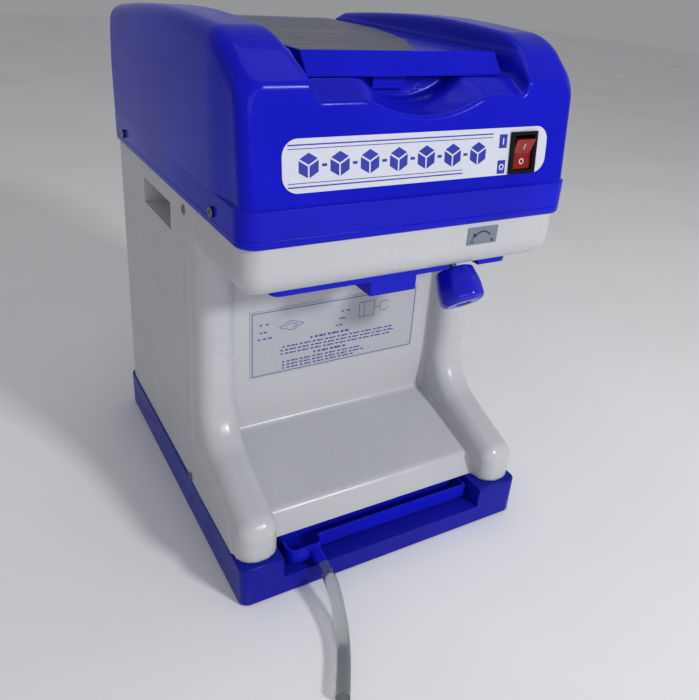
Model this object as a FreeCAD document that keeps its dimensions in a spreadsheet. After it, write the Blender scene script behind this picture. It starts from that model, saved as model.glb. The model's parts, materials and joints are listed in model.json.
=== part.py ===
"""Electric shaved ice machine: a base tray, a white two-piece casing, a blue hood and the ice drive inside.

Millimetres. The origin is the centre of the footprint on the surface that the machine stands on.
+X is to the right of someone who faces the machine, -Y is its front and +Z is up.
"""

import FreeCAD, Part, Sketcher
import math
import os

Vector = FreeCAD.Vector
Rotation = FreeCAD.Rotation
Placement = FreeCAD.Placement

doc = FreeCAD.newDocument("ShavedIceMachine")

# ---------------------------------------------------------------------------
# Driving dimensions
# ---------------------------------------------------------------------------

SIZES = (
    ("foot_drop", 2, "rubber feet stand this far below the base"),
    ("base_wide", 310, "base tray, side to side"),
    ("base_deep", 378, "base tray, front to back"),
    ("base_top", 44, "top of the base tray"),
    ("base_wall", 3, "wall of the base tray"),
    ("base_round", 9, "upright corners of the base tray"),
    ("base_edge", 2.5, "top edge of the base tray"),
    ("recess_left", -114.5, "left end of the drain recess"),
    ("recess_right", 106, "right end of the drain recess"),
    ("recess_floor", 22, "floor of the drain recess"),
    ("recess_back", -147, "back of the drain recess"),
    ("body_low", 153.5, "casing half width at the base"),
    ("body_high", 147.6, "casing half width under the hood"),
    ("body_top", 356, "top edge of the casings, inside the hood"),
    ("body_round", 13, "upright corners of the casings"),
    ("casing_wall", 2.5, "wall of the white casings"),
    ("seam", -47, "joint between front and rear casing"),
    ("toe_front", -183, "front of the two legs"),
    ("head_front", -179.5, "front of the head"),
    ("head_under", 292, "underside of the head"),
    ("head_round", 22, "front lower edge of the head"),
    ("toe_high", 80.5, "height of the toes, before they are rounded"),
    ("toe_round", 24, "top of the toes"),
    ("neck_low", 112, "where the toes run out into the pillars"),
    ("neck_round", 30, "bend between toes and pillars"),
    ("pillar_front", -81, "front of the upright side pillars"),
    ("bay_half", 114, "serving bay half width"),
    ("bay_back", -57, "back wall of the serving bay"),
    ("shelf_back", 96, "height of the shelf at the back wall"),
    ("shelf_front", 67, "height of the shelf at its front edge"),
    ("shelf_edge", -152, "front edge of the shelf"),
    ("lip_front", -160, "foot of the lip below the shelf"),
    ("lip_low", 50, "lower end of that lip"),
    ("body_back", 185.5, "back of the rear casing"),
    ("grip_front", -6, "front end of the carrying recess"),
    ("grip_back", 82, "back end of the carrying recess"),
    ("grip_low", 293, "lower edge of the carrying recess"),
    ("grip_high", 318, "upper edge of the carrying recess"),
    ("grip_deep", 24, "depth of the carrying recess"),
    ("hood_half", 151, "hood skirt half width"),
    ("hood_low", 334.5, "lower edge of the hood"),
    ("band_top", 362, "top of the thick band round the hood"),
    ("band_step", 3, "how far the band stands out"),
    ("hood_front", -182.5, "front of the hood band"),
    ("hood_back", 188.5, "back of the hood band"),
    ("hood_wall", 2.7, "wall of the hood"),
    ("hood_crest", 477, "highest line of the hood shoulders"),
    ("shoulder_round", 15, "outer top edge of the shoulders"),
    ("shoulder_inner", 101, "inner top edge of the shoulders"),
    ("channel_half", 95, "half width of the lid channel"),
    ("channel_floor", 443, "floor of the lid channel"),
    ("lid_half", 87, "lid half width"),
    ("lid_top", 460, "top of the lid"),
    ("lid_front", -145, "foot of the lid's sloping front panel"),
    ("lid_lean", 12, "how far that panel leans back"),
    ("lid_wall", 2.5, "wall of the lid"),
    ("hinge_back", 158, "lid hinge axis, from the centre"),
    ("hinge_high", 453, "lid hinge axis, height"),
    ("pin_round", 2.5, "radius of the lid hinge pins"),
    ("run_gap", 0.05, "running clearance of pins and shafts"),
    ("drum_y", -70, "drum axis, from the centre"),
    ("drum_bore", 70, "inside radius of the ice drum"),
    ("drum_wall", 2.5, "wall of the ice drum"),
    ("deck_low", 310, "underside of the steel deck"),
    ("deck_thick", 4, "thickness of the steel deck"),
    ("plate_thick", 8, "thickness of the blade plate"),
    ("drum_high", 88, "height of the ice drum"),
    ("shaft_round", 6, "radius of the rotor shaft"),
    ("bearing_round", 14, "outer radius of the rotor bearings"),
    ("vane_reach", 68.5, "outer radius of the rotor vanes"),
    ("rotor_pulley_round", 32, "outer radius of the rotor pulley"),
    ("motor_pulley_round", 14, "outer radius of the motor pulley"),
    ("belt_low", 299, "underside of the V belt"),
    ("belt_high", 6, "thickness of the V belt"),
    ("belt_deep", 5, "depth of the belt in its grooves"),
    ("motor_y", 45, "motor axis, from the centre"),
    ("motor_round", 58, "radius of the motor"),
    ("motor_low", 150, "lower end of the motor"),
    ("motor_top", 289, "upper end of the motor"),
    ("knob_x", 66.5, "adjuster knob, to the right of the centre"),
    ("knob_y", -144.8, "inner end of the knob"),
    ("knob_z", 277.4, "inner end of the knob, height"),
    ("knob_tilt", 40, "lean of the knob axis, degrees"),
    ("knob_round", 20.5, "radius of the knob"),
    ("knob_long", 32.5, "length of the knob"),
    ("stem_round", 4, "radius of the adjuster stem"),
    ("chute_half", 23, "chute half width at its mouth"),
    ("chute_front", -150, "front of the chute"),
    ("chute_back", -104, "back of the chute"),
    ("chute_low", 267.5, "mouth of the chute"),
    ("label_half", 119, "front label half width"),
    ("label_low", 372, "lower edge of the front label"),
    ("label_high", 409, "upper edge of the front label"),
    ("switch_x", 93.5, "switch centre, to the right of the centre"),
    ("switch_z", 389, "switch centre, height"),
    ("switch_wide", 27, "switch bezel width"),
    ("switch_tall", 33, "switch bezel height"),
    ("rocker_tilt", 11, "how far the rocker stands off level, degrees"),
    ("face_lean", 0.1, "how far the hood front leans back, per height"),
    ("hose_round", 6, "outer radius of the drain hose"),
    ("spout_bore", 2.75, "bore of the drain spout"),
    ("spout_tip", 4.25, "radius of the spout inside the hose"),
    ("spout_grip", 9, "how far the hose goes over the spout"),
)

sheet = doc.addObject("Spreadsheet::Sheet", "Size")
for row, (alias, value, meaning) in enumerate(SIZES, start=1):
    sheet.set("A%d" % row, meaning)
    sheet.set("B%d" % row, str(value))
    sheet.setAlias("B%d" % row, alias)
doc.recompute()

PARTS = []


def size(alias):
    """The number in the sheet's cell of that name."""
    return float(sheet.get(alias))


def rule(text):
    """An expression in which bare aliases stand for the sheet's cells."""
    words = []
    word = ""
    for letter in str(text) + " ":
        if letter.isalnum() or letter == "_" or (letter == "." and word[:1].isdigit()):
            word += letter
            continue
        words.append("Size." + word if word in ALIASES else word)
        words.append(letter)
        word = ""
    return "".join(words).strip()


ALIASES = {alias for alias, _, _ in SIZES}


def bind(obj, **rules):
    """Bind properties to expressions; Placement.Base.x is written x, and so on."""
    short = {"x": "Placement.Base.x", "y": "Placement.Base.y", "z": "Placement.Base.z"}
    for name, text in rules.items():
        obj.setExpression(short.get(name, name), rule(text))


def box(name, x, y, z, wide, deep, high):
    """A block from its lowest corner and its three lengths."""
    obj = doc.addObject("Part::Box", name)
    bind(obj, Length=wide, Width=deep, Height=high, x=x, y=y, z=z)
    return obj


def block(name, low_x, high_x, low_y, high_y, low_z, high_z):
    """A block from its limits along the three axes."""
    spans = ("(%s)-(%s)" % pair for pair in ((high_x, low_x), (high_y, low_y), (high_z, low_z)))
    return box(name, low_x, low_y, low_z, *spans)


def rod(name, x, y, z, radius, high, turn=None):
    """A cylinder from the centre of its first face, along +Z unless it is turned."""
    obj = doc.addObject("Part::Cylinder", name)
    if turn is not None:
        obj.Placement = Placement(Vector(), turn)
    bind(obj, Radius=radius, Height=high, x=x, y=y, z=z)
    return obj


def fuse(name, *shapes):
    """The union of several shapes."""
    obj = doc.addObject("Part::MultiFuse", name)
    obj.Shapes = list(shapes)
    obj.Refine = True
    return obj


def cut(name, base, *tools):
    """What is left of a shape once the tools are taken away."""
    obj = doc.addObject("Part::Cut", name)
    obj.Base = base
    obj.Tool = tools[0] if len(tools) == 1 else fuse(name + "_tools", *tools)
    obj.Refine = True
    return obj


def common(name, first, second):
    """Where two shapes overlap."""
    obj = doc.addObject("Part::Common", name)
    obj.Base = first
    obj.Tool = second
    obj.Refine = True
    return obj


def rounded(name, base, *picks):
    """Fillet the edges that each (radius, test) pair picks."""
    doc.recompute()
    obj = doc.addObject("Part::Fillet", name)
    obj.Base = base
    edges = []
    for index, edge in enumerate(base.Shape.Edges, start=1):
        for radius, wanted in picks:
            if wanted(edge):
                edges.append((index, radius, radius))
                break
    obj.Edges = edges
    return obj


def middle(edge):
    return edge.valueAt((edge.FirstParameter + edge.LastParameter) / 2)


def runs_along(edge, axis):
    """Whether a straight edge lies within a few degrees of the axis."""
    ends = [vertex.Point for vertex in edge.Vertexes]
    if len(ends) != 2:
        return False
    run = ends[1] - ends[0]
    return run.Length > 1e-6 and abs(run.normalize().dot(axis)) > 0.99


def upright(edge):
    return runs_along(edge, Vector(0, 0, 1))


PLANES = {
    "XY": Rotation(),
    "XZ": Rotation(Vector(1, 0, 0), 90),
    "YZ": Rotation(Vector(1, 1, 1), 120),
}


def draw(sketch, points):
    """A closed outline in a sketch, each corner held by two dimensions bound to the sheet."""
    values = [tuple(float(evaluate(text)) for text in point) for point in points]
    count = len(points)
    for index in range(count):
        start = Vector(*values[index], 0)
        end = Vector(*values[(index + 1) % count], 0)
        sketch.addGeometry(Part.LineSegment(start, end), False)
    for index in range(count):
        sketch.addConstraint(Sketcher.Constraint("Coincident", index, 2, (index + 1) % count, 1))
    for index, point in enumerate(points):
        for kind, text, value in zip(("DistanceX", "DistanceY"), point, values[index]):
            held = sketch.addConstraint(Sketcher.Constraint(kind, -1, 1, index, 1, value))
            sketch.setExpression("Constraints[%d]" % held, rule(text))


def evaluate(text):
    """The present value of an expression, worked out by the document itself."""
    return getattr(sheet.evalExpression(rule(text)), "Value", sheet.evalExpression(rule(text)))


def prism(name, plane, points, length, shift="0", symmetric=True):
    """A straight prism; shift is where its outline lies, and an XZ one grows towards the front."""
    sketch = doc.addObject("Sketcher::SketchObject", name + "_outline")
    draw(sketch, points)
    sketch.Placement = Placement(Vector(), PLANES[plane])
    along = {"XY": "z", "XZ": "y", "YZ": "x"}[plane]
    bind(sketch, **{along: shift})
    obj = doc.addObject("Part::Extrusion", name)
    obj.Base = sketch
    obj.DirMode = "Normal"
    obj.Solid = True
    obj.Symmetric = symmetric
    bind(obj, LengthFwd=length)
    return obj


def turned(name, points, x, y, z, turn=None):
    """A PartDesign body: an outline of (radius, height) corners revolved about its own Z axis."""
    body = doc.addObject("PartDesign::Body", name)
    sketch = body.newObject("Sketcher::SketchObject", name + "_section")
    plane = next(f for f in body.Origin.OriginFeatures if f.Role == "XZ_Plane")
    sketch.AttachmentSupport = (plane, "")
    sketch.MapMode = "FlatFace"
    draw(sketch, points)
    spin = body.newObject("PartDesign::Revolution", name + "_spin")
    spin.Profile = sketch
    spin.ReferenceAxis = (sketch, ["V_Axis"])
    spin.Angle = 360
    body.Tip = spin
    if turn is not None:
        body.Placement = Placement(Vector(), turn)
    bind(body, x=x, y=y, z=z)
    return body


def part(obj, label):
    """Name an object as one sub-part of the machine."""
    obj.Label = label
    PARTS.append(obj)
    return obj


def made(label, shape):
    """A sub-part whose shape is worked out from the sheet in this file."""
    obj = doc.addObject("Part::Feature", label)
    obj.Shape = shape
    obj.Placement = Placement()
    return part(obj, label)


# ---------------------------------------------------------------------------
# White casings
# ---------------------------------------------------------------------------

FAR = 400
SLOPE_DROP = "0.74"


def draft_block(name, inset, low_y, high_y):
    """A block whose sides lean in from the base to the hood, as the moulded casings do."""
    obj = doc.addObject("Part::Wedge", name)
    obj.Placement = Placement(Vector(), Rotation(Vector(1, 0, 0), 90))
    low, high = "(body_low-%s)" % inset, "(body_high-%s)" % inset
    bind(
        obj,
        Xmin="-" + low, Xmax=low, X2min="-" + high, X2max=high,
        Ymin="base_top", Ymax="body_top",
        Zmin="-(%s)" % high_y, Zmax="-(%s)" % low_y, Z2min="-(%s)" % high_y, Z2max="-(%s)" % low_y,
    )
    return obj


def front_form(tag, inset):
    """The front casing as a full solid, drawn in by inset: legs, pillars, shelf and head."""
    back = "seam" if inset == "0" else "seam+20"
    floor = "base_top" if inset == "0" else "base_top-5"
    roof = "body_top" if inset == "0" else "body_top+5"
    side = prism(
        "front_side" + tag, "YZ",
        [
            (back, floor),
            ("toe_front+" + inset, floor),
            ("toe_front+" + inset, "toe_high-%s*%s" % (SLOPE_DROP, inset)),
            ("pillar_front+" + inset, "neck_low-%s*%s" % (SLOPE_DROP, inset)),
            ("pillar_front+" + inset, "head_under+" + inset),
            ("head_front+" + inset, "head_under+" + inset),
            ("head_front+" + inset, roof),
            (back, roof),
        ],
        FAR,
    )
    draft = draft_block("front_draft" + tag, inset, "-200", back)
    bay = prism(
        "bay" + tag, "YZ",
        [
            ("bay_back+" + inset, "shelf_back-%s*%s" % (SLOPE_DROP, inset)),
            ("shelf_edge+0.6*" + inset, "shelf_front-0.9*" + inset),
            ("lip_front+" + inset, "lip_low"),
            ("recess_back", "lip_low"),
            ("recess_back", "base_top-10"),
            ("-200", "base_top-10"),
            ("-200", "head_under+" + inset),
            ("bay_back+" + inset, "head_under+" + inset),
        ],
        "2*(bay_half+%s)" % inset,
    )
    return cut("front_form" + tag, common("front_solid" + tag, side, draft), bay)


def outer_bend(inset):
    """Picks the edges between the casing's sides and its front, round the legs and the head."""
    reach = size("body_high") - inset - 1

    def wanted(edge):
        spot = middle(edge)
        low, high = size("base_top") + 1, size("body_top") - 1
        return abs(spot.x) > reach and spot.y < size("seam") - 3 and low < spot.z < high

    return wanted


def along_x_at(y, z):
    """Picks the edge that runs across the machine at that place."""

    def wanted(edge):
        spot = middle(edge)
        return runs_along(edge, Vector(1, 0, 0)) and abs(spot.y - y) < 1 and abs(spot.z - z) < 1

    return wanted


def front_edges(inset):
    """Which edges of the front casing are rounded, and how much, drawn in by inset."""
    bend = size("body_round") - inset
    drop = inset * float(SLOPE_DROP)
    under = size("head_under") + inset
    return (
        (size("head_round") - inset, along_x_at(size("head_front") + inset, under)),
        (size("toe_round") - inset, along_x_at(size("toe_front") + inset, size("toe_high") - drop)),
        (size("neck_round") + inset, along_x_at(size("pillar_front") + inset, size("neck_low") - drop)),
        (bend, outer_bend(inset)),
    )


def rear_form(tag, inset):
    """The rear casing as a full solid, drawn in by inset."""
    back = "body_back-" + inset
    draft = draft_block("rear_draft" + tag, inset, "seam" if inset == "0" else "seam-10", back)
    bend = size("body_round") - evaluate(inset)

    def back_corner(edge):
        spot = middle(edge)
        return abs(spot.x) > 100 and abs(spot.y - evaluate(back)) < 1 and abs(spot.z - 200) < 20

    return rounded("rear_form" + tag, draft, (bend, back_corner))


HEAD_ROUND = 4.2


def screw(name, x, y, z, turn, head=HEAD_ROUND, head_high=2.4, shank=2, deep=8):
    """A cross-head screw whose head starts at the given point and points away along +Z, turned."""
    top = rod(name + "_head", "0", "0", "0", head, head_high)
    stem = rod(name + "_shank", "0", "0", -deep, shank, deep)
    slot = 0.45 * head
    cross = [
        block(name + "_slot_a", -slot, slot, -0.5, 0.5, head_high - 1, head_high + 1),
        block(name + "_slot_b", -0.5, 0.5, -slot, slot, head_high - 1, head_high + 1),
    ]
    obj = cut(name, fuse(name + "_solid", top, stem), *cross)
    obj.Placement = Placement(Vector(), turn)
    bind(obj, x=x, y=y, z=z)
    return obj


def hole(name, x, y, z, turn, radius=2, deep=8):
    """The clearance for such a screw's shank."""
    away = turn.multVec(Vector(0, 0, -deep))
    spots = ["%s+(%s)" % pair for pair in zip((x, y, z), away)]
    return rod(name, *spots, radius, 2 * deep, turn)


UP = Rotation()
DOWN = Rotation(Vector(1, 0, 0), 180)
FRONTWARD = Rotation(Vector(1, 0, 0), 90)
LEFTWARD = Rotation(Vector(0, 1, 0), -90)
RIGHTWARD = Rotation(Vector(0, 1, 0), 90)
SIDES = ((-1, LEFTWARD, "left"), (1, RIGHTWARD, "right"))

# Side screws: (y, z) in the hood band, and z along the seam of the casings.
BAND_SPOTS = (("-126", "347"), ("140", "347"))
SEAM_SPOTS = ("325.5", "48.5")


def body_half_at(height):
    """The casing's half width at a height, as an expression."""
    share = "((%s)-base_top)/(body_top-base_top)" % height
    return "(body_low-(body_low-body_high)*%s)" % share


def band_screws(maker, tag, **extra):
    """Screws or holes through the hood's band."""
    made_screws = []
    for sign, turn, side in SIDES:
        for number, (y, z) in enumerate(BAND_SPOTS):
            name = "%s_%s_%d" % (tag, side, number)
            made_screws.append(maker(name, "%d*hood_half" % sign, y, z, turn, **extra))
    return made_screws


def seam_screws(maker, tag, **extra):
    """Screws or holes along the seam; each head just clears the leaning wall at its lower edge."""
    made_screws = []
    for sign, turn, side in SIDES:
        for number, z in enumerate(SEAM_SPOTS):
            name = "%s_%s_%d" % (tag, side, number)
            wall = body_half_at("%s-%s" % (z, HEAD_ROUND))
            made_screws.append(maker(name, "%d*(%s+0.02)" % (sign, wall), "seam-4", z, turn, **extra))
    return made_screws


front_outer = rounded("front_outer", front_form("_outer", "0"), *front_edges(0))
front_inner = rounded("front_inner", front_form("_inner", "casing_wall"), *front_edges(size("casing_wall")))
front_shell = cut(
    "front_shell", front_outer, front_inner,
    block("head_opening", -105, 105, -151, -66, "head_under-3", "head_under+casing_wall+2"),
    *band_screws(hole, "front_band_hole"), *seam_screws(hole, "front_seam_hole"),
)
part(front_shell, "front_casing")


def seam_tongue(sign, side, number, z):
    """The rear casing's tongue behind the front casing's edge, with the root that joins it to the wall."""
    face = "(%s-casing_wall-0.1)" % body_half_at("(%s+4.5)" % z)
    made = []
    for word, far, front in (("tongue", face, "seam-11"), ("root", face + "+1.6", "seam+0.3")):
        limits = (face + "-3", far) if sign > 0 else ("-(%s)" % far, "-(%s-3)" % face)
        name = "%s_%s_%d" % (side, word, number)
        made.append(block(name, *limits, front, "seam+8", z + "-4.5", z + "+4.5"))
    return made


def grip_cup(sign, side):
    """The walls and the hollow of one carrying recess."""
    near, far = "body_high-grip_deep", "body_high-0.5"
    limits = (near, far) if sign > 0 else ("-(%s)" % far, "-(%s)" % near)
    walls = block(
        side + "_grip_walls", *limits, "grip_front-casing_wall", "grip_back+casing_wall",
        "grip_low-casing_wall", "grip_high+casing_wall",
    )
    inner, outer = "body_high-grip_deep+casing_wall", "body_high+20"
    span = (inner, outer) if sign > 0 else ("-(%s)" % outer, "-(%s)" % inner)
    hollow = block(side + "_grip_hollow", *span, "grip_front", "grip_back", "grip_low", "grip_high")
    return walls, hollow


VENT_COUNT = 9
VENT_LOW = 120
VENT_PITCH = 13
VENT_HIGH = 5
INLET_X = 95
INLET_Z = 78

grips = [grip_cup(sign, side) for sign, _, side in SIDES]
tongues = []
for sign, _, side in SIDES:
    for number, z in enumerate(SEAM_SPOTS):
        tongues += seam_tongue(sign, side, number, z)
vents = []
for n in range(VENT_COUNT):
    vent_low = VENT_LOW + VENT_PITCH * n
    vents.append(block("vent_%d" % n, -55, 55, "body_back-6", "body_back+4", vent_low, vent_low + VENT_HIGH))
inlet_gap = block(
    "inlet_gap", INLET_X - 13.5, INLET_X + 13.5, "body_back-6", "body_back+4", INLET_Z - 10, INLET_Z + 10
)
rear_shell = cut("rear_shell", rear_form("_outer", "0"), rear_form("_inner", "casing_wall"))
rear_casing = cut(
    "rear_casing_solid",
    fuse("rear_with_grips", rear_shell, *[walls for walls, _ in grips], *tongues),
    *[hollow for _, hollow in grips], *vents, inlet_gap,
    *band_screws(hole, "rear_band_hole"), *seam_screws(hole, "rear_seam_hole"),
)
part(rear_casing, "rear_casing")
part(fuse("casing_screw_set", *seam_screws(screw, "casing_screw", deep=6)), "casing_screws")

# ---------------------------------------------------------------------------
# Base tray, feet, drain gutter and hose
# ---------------------------------------------------------------------------

FEET = [("%d*(base_wide/2-24)" % i, "%d*(base_deep/2-24)" % j) for i in (-1, 1) for j in (-1, 1)]
FOOT_TOP = 8

tray_block = block(
    "tray_block", "-base_wide/2", "base_wide/2", "-base_deep/2", "base_deep/2", "foot_drop", "base_top"
)


def tray_top(edge):
    return abs(middle(edge).z - size("base_top")) < 0.1


tray_corners = rounded("tray_corners", tray_block, (size("base_round"), upright))
tray_form = rounded("tray_form", tray_corners, (size("base_edge"), tray_top))
inside = {"low_x": "-base_wide/2+base_wall", "high_x": "base_wide/2-base_wall", "low_z": "foot_drop-5"}
tray_hollows = [
    block("tray_hollow_back", low_y="recess_back+base_wall", high_y="base_deep/2-base_wall",
          high_z="base_top-base_wall", **inside),
    block("tray_hollow_front", low_y="-base_deep/2+base_wall", high_y="recess_back+base_wall",
          high_z="recess_floor-base_wall", **inside),
    block("tray_hollow_left", inside["low_x"], "recess_left-base_wall", "-base_deep/2+base_wall",
          "recess_back+base_wall", "foot_drop-5", "base_top-base_wall"),
    block("tray_hollow_right", "recess_right+base_wall", inside["high_x"], "-base_deep/2+base_wall",
          "recess_back+base_wall", "foot_drop-5", "base_top-base_wall"),
]
recess = block(
    "drain_recess", "recess_left", "recess_right", "-base_deep/2-5", "recess_back",
    "recess_floor", "base_top+5",
)
bosses = [
    rod("foot_boss_%d" % n, x, y, FOOT_TOP, 13, "base_top-base_wall+0.5-%d" % FOOT_TOP)
    for n, (x, y) in enumerate(FEET)
]
tray_shell = cut("tray_shell", tray_form, *tray_hollows)
part(
    cut("tray_cut", fuse("tray_with_bosses", tray_shell, *bosses), recess,
        *[hole("foot_hole_%d" % n, x, y, FOOT_TOP, DOWN, radius=2, deep=9) for n, (x, y) in enumerate(FEET)]),
    "base_tray",
)
FOOT_SECTION = ((0, 2.5), (5, 2.5), (5, 0), (11, 0), (12, 1), (12, FOOT_TOP), (0, FOOT_TOP))
feet = []
for number, (x, y) in enumerate(FEET):
    foot = turned("foot_%d" % number, FOOT_SECTION, x, y, "0")
    feet.append(cut("foot_cut_%d" % number, foot, rod("foot_bore_%d" % number, x, y, 0, 2, 10)))
part(fuse("foot_set", *feet), "rubber_feet")
part(
    fuse("foot_screw_set", *[screw("foot_screw_%d" % n, x, y, "2.5", DOWN, head_high=2, deep=13)
                             for n, (x, y) in enumerate(FEET)]),
    "foot_screws",
)

GUTTER_LOW = "recess_floor+3"
GUTTER_TOP = "40"
WALL = 2

# The drain hose's route, from the spout down to the surface and along it. The first run is the spout's axis.
HOSE_ROUTE = (
    (-79.0, -196.0, 28.0),
    (-78.8, -210.5, 24.5),
    (-81.2, -226.5, 18.8),
    (-85.5, -243.5, 12.2),
    (-91.8, -260.5, 7.6),
    (-99.6, -277.0, 6.05),
    (-108.6, -293.0, 6.05),
    (-117.7, -308.3, 6.05),
)


def gutter_solid(tag, inset, low, high):
    """The trough with the wider well at its left end, drawn in by inset."""
    run = block("gutter_run" + tag, -100 + inset, 101 - inset, -171 + inset, -150 - inset, low, high)
    well = block("gutter_well" + tag, -106 + inset, -70 - inset, -182 + inset, -150 - inset, low, high)
    return fuse("gutter" + tag, run, rounded("gutter_bulge" + tag, well, (9 - inset, upright)))


def spout_rod(name, radius, start, end):
    """A rod on the drain spout's axis, between two distances from the hose's inner end."""
    axis = Vector(*HOSE_ROUTE[1]) - Vector(*HOSE_ROUTE[0])
    axis.normalize()
    spot = Vector(*HOSE_ROUTE[0]) + axis * start
    return rod(name, spot.x, spot.y, spot.z, radius, end - start, Rotation(Vector(0, 0, 1), axis))


part(
    cut(
        "gutter_cut",
        gutter_solid("_outer", 0, GUTTER_LOW, GUTTER_TOP),
        gutter_solid("_inner", WALL, GUTTER_LOW + "+%d" % WALL, GUTTER_TOP + "+5"),
        spout_rod("spout_hole", "hose_round", -19, 0),
    ),
    "drain_gutter",
)
part(
    cut("spout_cut",
        fuse("spout_solid", spout_rod("spout_collar", "hose_round", -18, 0),
             spout_rod("spout_barb", "spout_tip", 0, size("spout_grip"))),
        spout_rod("spout_bore", "spout_bore", -22, size("spout_grip") + 5)),
    "drain_spout",
)


def smooth_path(points):
    """Straight runs joined by tangent arcs, each as large as its two runs allow."""
    spots = [Vector(*point) for point in points]
    edges = []
    start = spots[0]
    radii = []
    for before, corner, after in zip(spots, spots[1:], spots[2:]):
        first, second = corner - before, after - corner
        trim = 0.45 * min(first.Length, second.Length)
        half_turn = first.getAngle(second) / 2
        radii.append(trim / math.tan(half_turn))
        first.normalize()
        second.normalize()
        arc_start, arc_end = corner - first * trim, corner + second * trim
        inward = (second - first).normalize()
        centre = corner + inward * (radii[-1] / math.cos(half_turn))
        arc_middle = centre + (corner - centre).normalize() * radii[-1]
        edges.append(Part.LineSegment(start, arc_start).toShape())
        edges.append(Part.Arc(arc_start, arc_middle, arc_end).toShape())
        start = arc_end
    edges.append(Part.LineSegment(start, spots[-1]).toShape())
    return Part.Wire(edges), radii


hose_path, hose_radii = smooth_path(HOSE_ROUTE)
hose_start = Vector(*HOSE_ROUTE[0])
hose_axis = (Vector(*HOSE_ROUTE[1]) - hose_start).normalize()
hose_end = Part.Wire(Part.makeCircle(size("hose_round"), hose_start, hose_axis))
hose_tube = hose_path.makePipeShell([hose_end], True, False)
hose_volume = math.pi * size("hose_round") ** 2 * hose_path.Length
print("hose radii", [round(radius, 1) for radius in hose_radii], "length", round(hose_path.Length, 1))
print("hose volume over section times length", round(hose_tube.Volume / hose_volume, 4))
hose_socket = Part.makeCylinder(size("spout_tip"), size("spout_grip"), hose_start, hose_axis)
made("drain_hose", hose_tube.cut(hose_socket))

# ---------------------------------------------------------------------------
# Hood and lid
# ---------------------------------------------------------------------------

OVER = 500


def hood_form(tag, inset, floor):
    """The hood as a full solid, drawn in by inset: thick band below, shoulders and lid channel above."""
    band = rounded(
        "hood_band" + tag,
        block("hood_band_block" + tag, "-hood_half+" + inset, "hood_half-" + inset, "hood_front+" + inset,
              "hood_back-" + inset, floor, "band_top-" + inset),
        (size("body_round") + size("band_step") - evaluate(inset), upright),
    )
    side = prism(
        "hood_side" + tag, "YZ",
        [
            ("hood_front+band_step+" + inset, "band_top-5"),
            ("hood_front+band_step+8.2+" + inset, "band_top+82"),
            ("-140+0.4*" + inset, "468-" + inset),
            ("-96", "474-" + inset),
            ("-25", "hood_crest-" + inset),
            ("50", "474-" + inset),
            ("115", "470-" + inset),
            ("168-" + inset, "465-" + inset),
            ("183-" + inset, "430"),
            ("hood_back-band_step-" + inset, "band_top-5"),
        ],
        "2*(hood_half-%s)" % inset,
    )
    edge_x = size("hood_half") - evaluate(inset)

    def outer_top(edge):
        spot = middle(edge)
        return abs(abs(spot.x) - edge_x) < 0.5 and spot.z > size("band_top") - 4

    upper = rounded("hood_upper" + tag, side, (size("shoulder_round") - evaluate(inset), outer_top))
    run = "%d" % OVER
    slope = "((%s-channel_floor)*(shoulder_inner-channel_half)/27)" % run
    channel = prism(
        "lid_channel" + tag, "XZ",
        [
            ("-channel_half-" + inset, "channel_floor-" + inset),
            ("channel_half+" + inset, "channel_floor-" + inset),
            ("channel_half+%s+%s" % (inset, slope), run),
            ("-channel_half-%s-%s" % (inset, slope), run),
        ],
        OVER, shift="hinge_back+11+" + inset, symmetric=False,
    )
    rear = prism(
        "rear_channel" + tag, "XZ",
        [
            ("-channel_half-11-" + inset, "lid_top+1-" + inset),
            ("channel_half+11+" + inset, "lid_top+1-" + inset),
            ("channel_half+%s+%s" % (inset, slope), run),
            ("-channel_half-%s-%s" % (inset, slope), run),
        ],
        OVER, shift="hinge_back+100", symmetric=False,
    )
    ledge = prism(
        "front_ledge" + tag, "YZ",
        [
            ("-150", "channel_floor-" + inset),
            ("-150", run),
            ("-230", run),
            ("-230", "channel_floor-40-" + inset),
        ],
        "2*(channel_half+%s)" % inset,
    )
    scoop = rod("finger_scoop" + tag, "0", "-131+" + inset, "channel_floor+56", "73+" + inset, 100, FRONTWARD)
    return cut("hood_form" + tag, fuse("hood_solid" + tag, band, upper), channel, rear, ledge, scoop)


hood_shell = cut(
    "hood_shell", hood_form("_outer", "0", "hood_low"), hood_form("_inner", "hood_wall", "hood_low-5")
)

HOPPER_MOUTH = 52
FACE_TURN = Rotation(Vector(1, 0, 0), 90 - math.degrees(math.atan(size("face_lean"))))


def face_y(height):
    """The hood's front face at a height, as an expression."""
    return "(hood_front+band_step+((%s)-band_top)*face_lean)" % height


def on_face(name, wide, tall, deep, x, z, sink="0"):
    """A block laid on the hood's leaning front, centred at (x, z), sunk into it by sink."""
    obj = doc.addObject("Part::Box", name)
    obj.Placement = Placement(Vector(), FACE_TURN)
    outward = FACE_TURN.multVec(Vector(0, 0, 1))
    upward = FACE_TURN.multVec(Vector(0, 1, 0))
    bind(
        obj, Length=wide, Width=tall, Height=deep,
        x="(%s)-(%s)/2" % (x, wide),
        y="%s-(%s)/2*%s-(%s)*%s" % (face_y(z), tall, upward.y, sink, outward.y),
        z="(%s)-(%s)/2*%s-(%s)*%s" % (z, tall, upward.z, sink, outward.z),
    )
    return obj


def hinge_rod(name, radius, start, end):
    """A rod on the lid's hinge axis."""
    return rod(name, start, "hinge_back", "hinge_high", radius, "(%s)-(%s)" % (end, start), RIGHTWARD)


PLUNGER_X, PLUNGER_Y = 75, -106
PIN_INNER, PIN_OUTER = 77, 104

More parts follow.
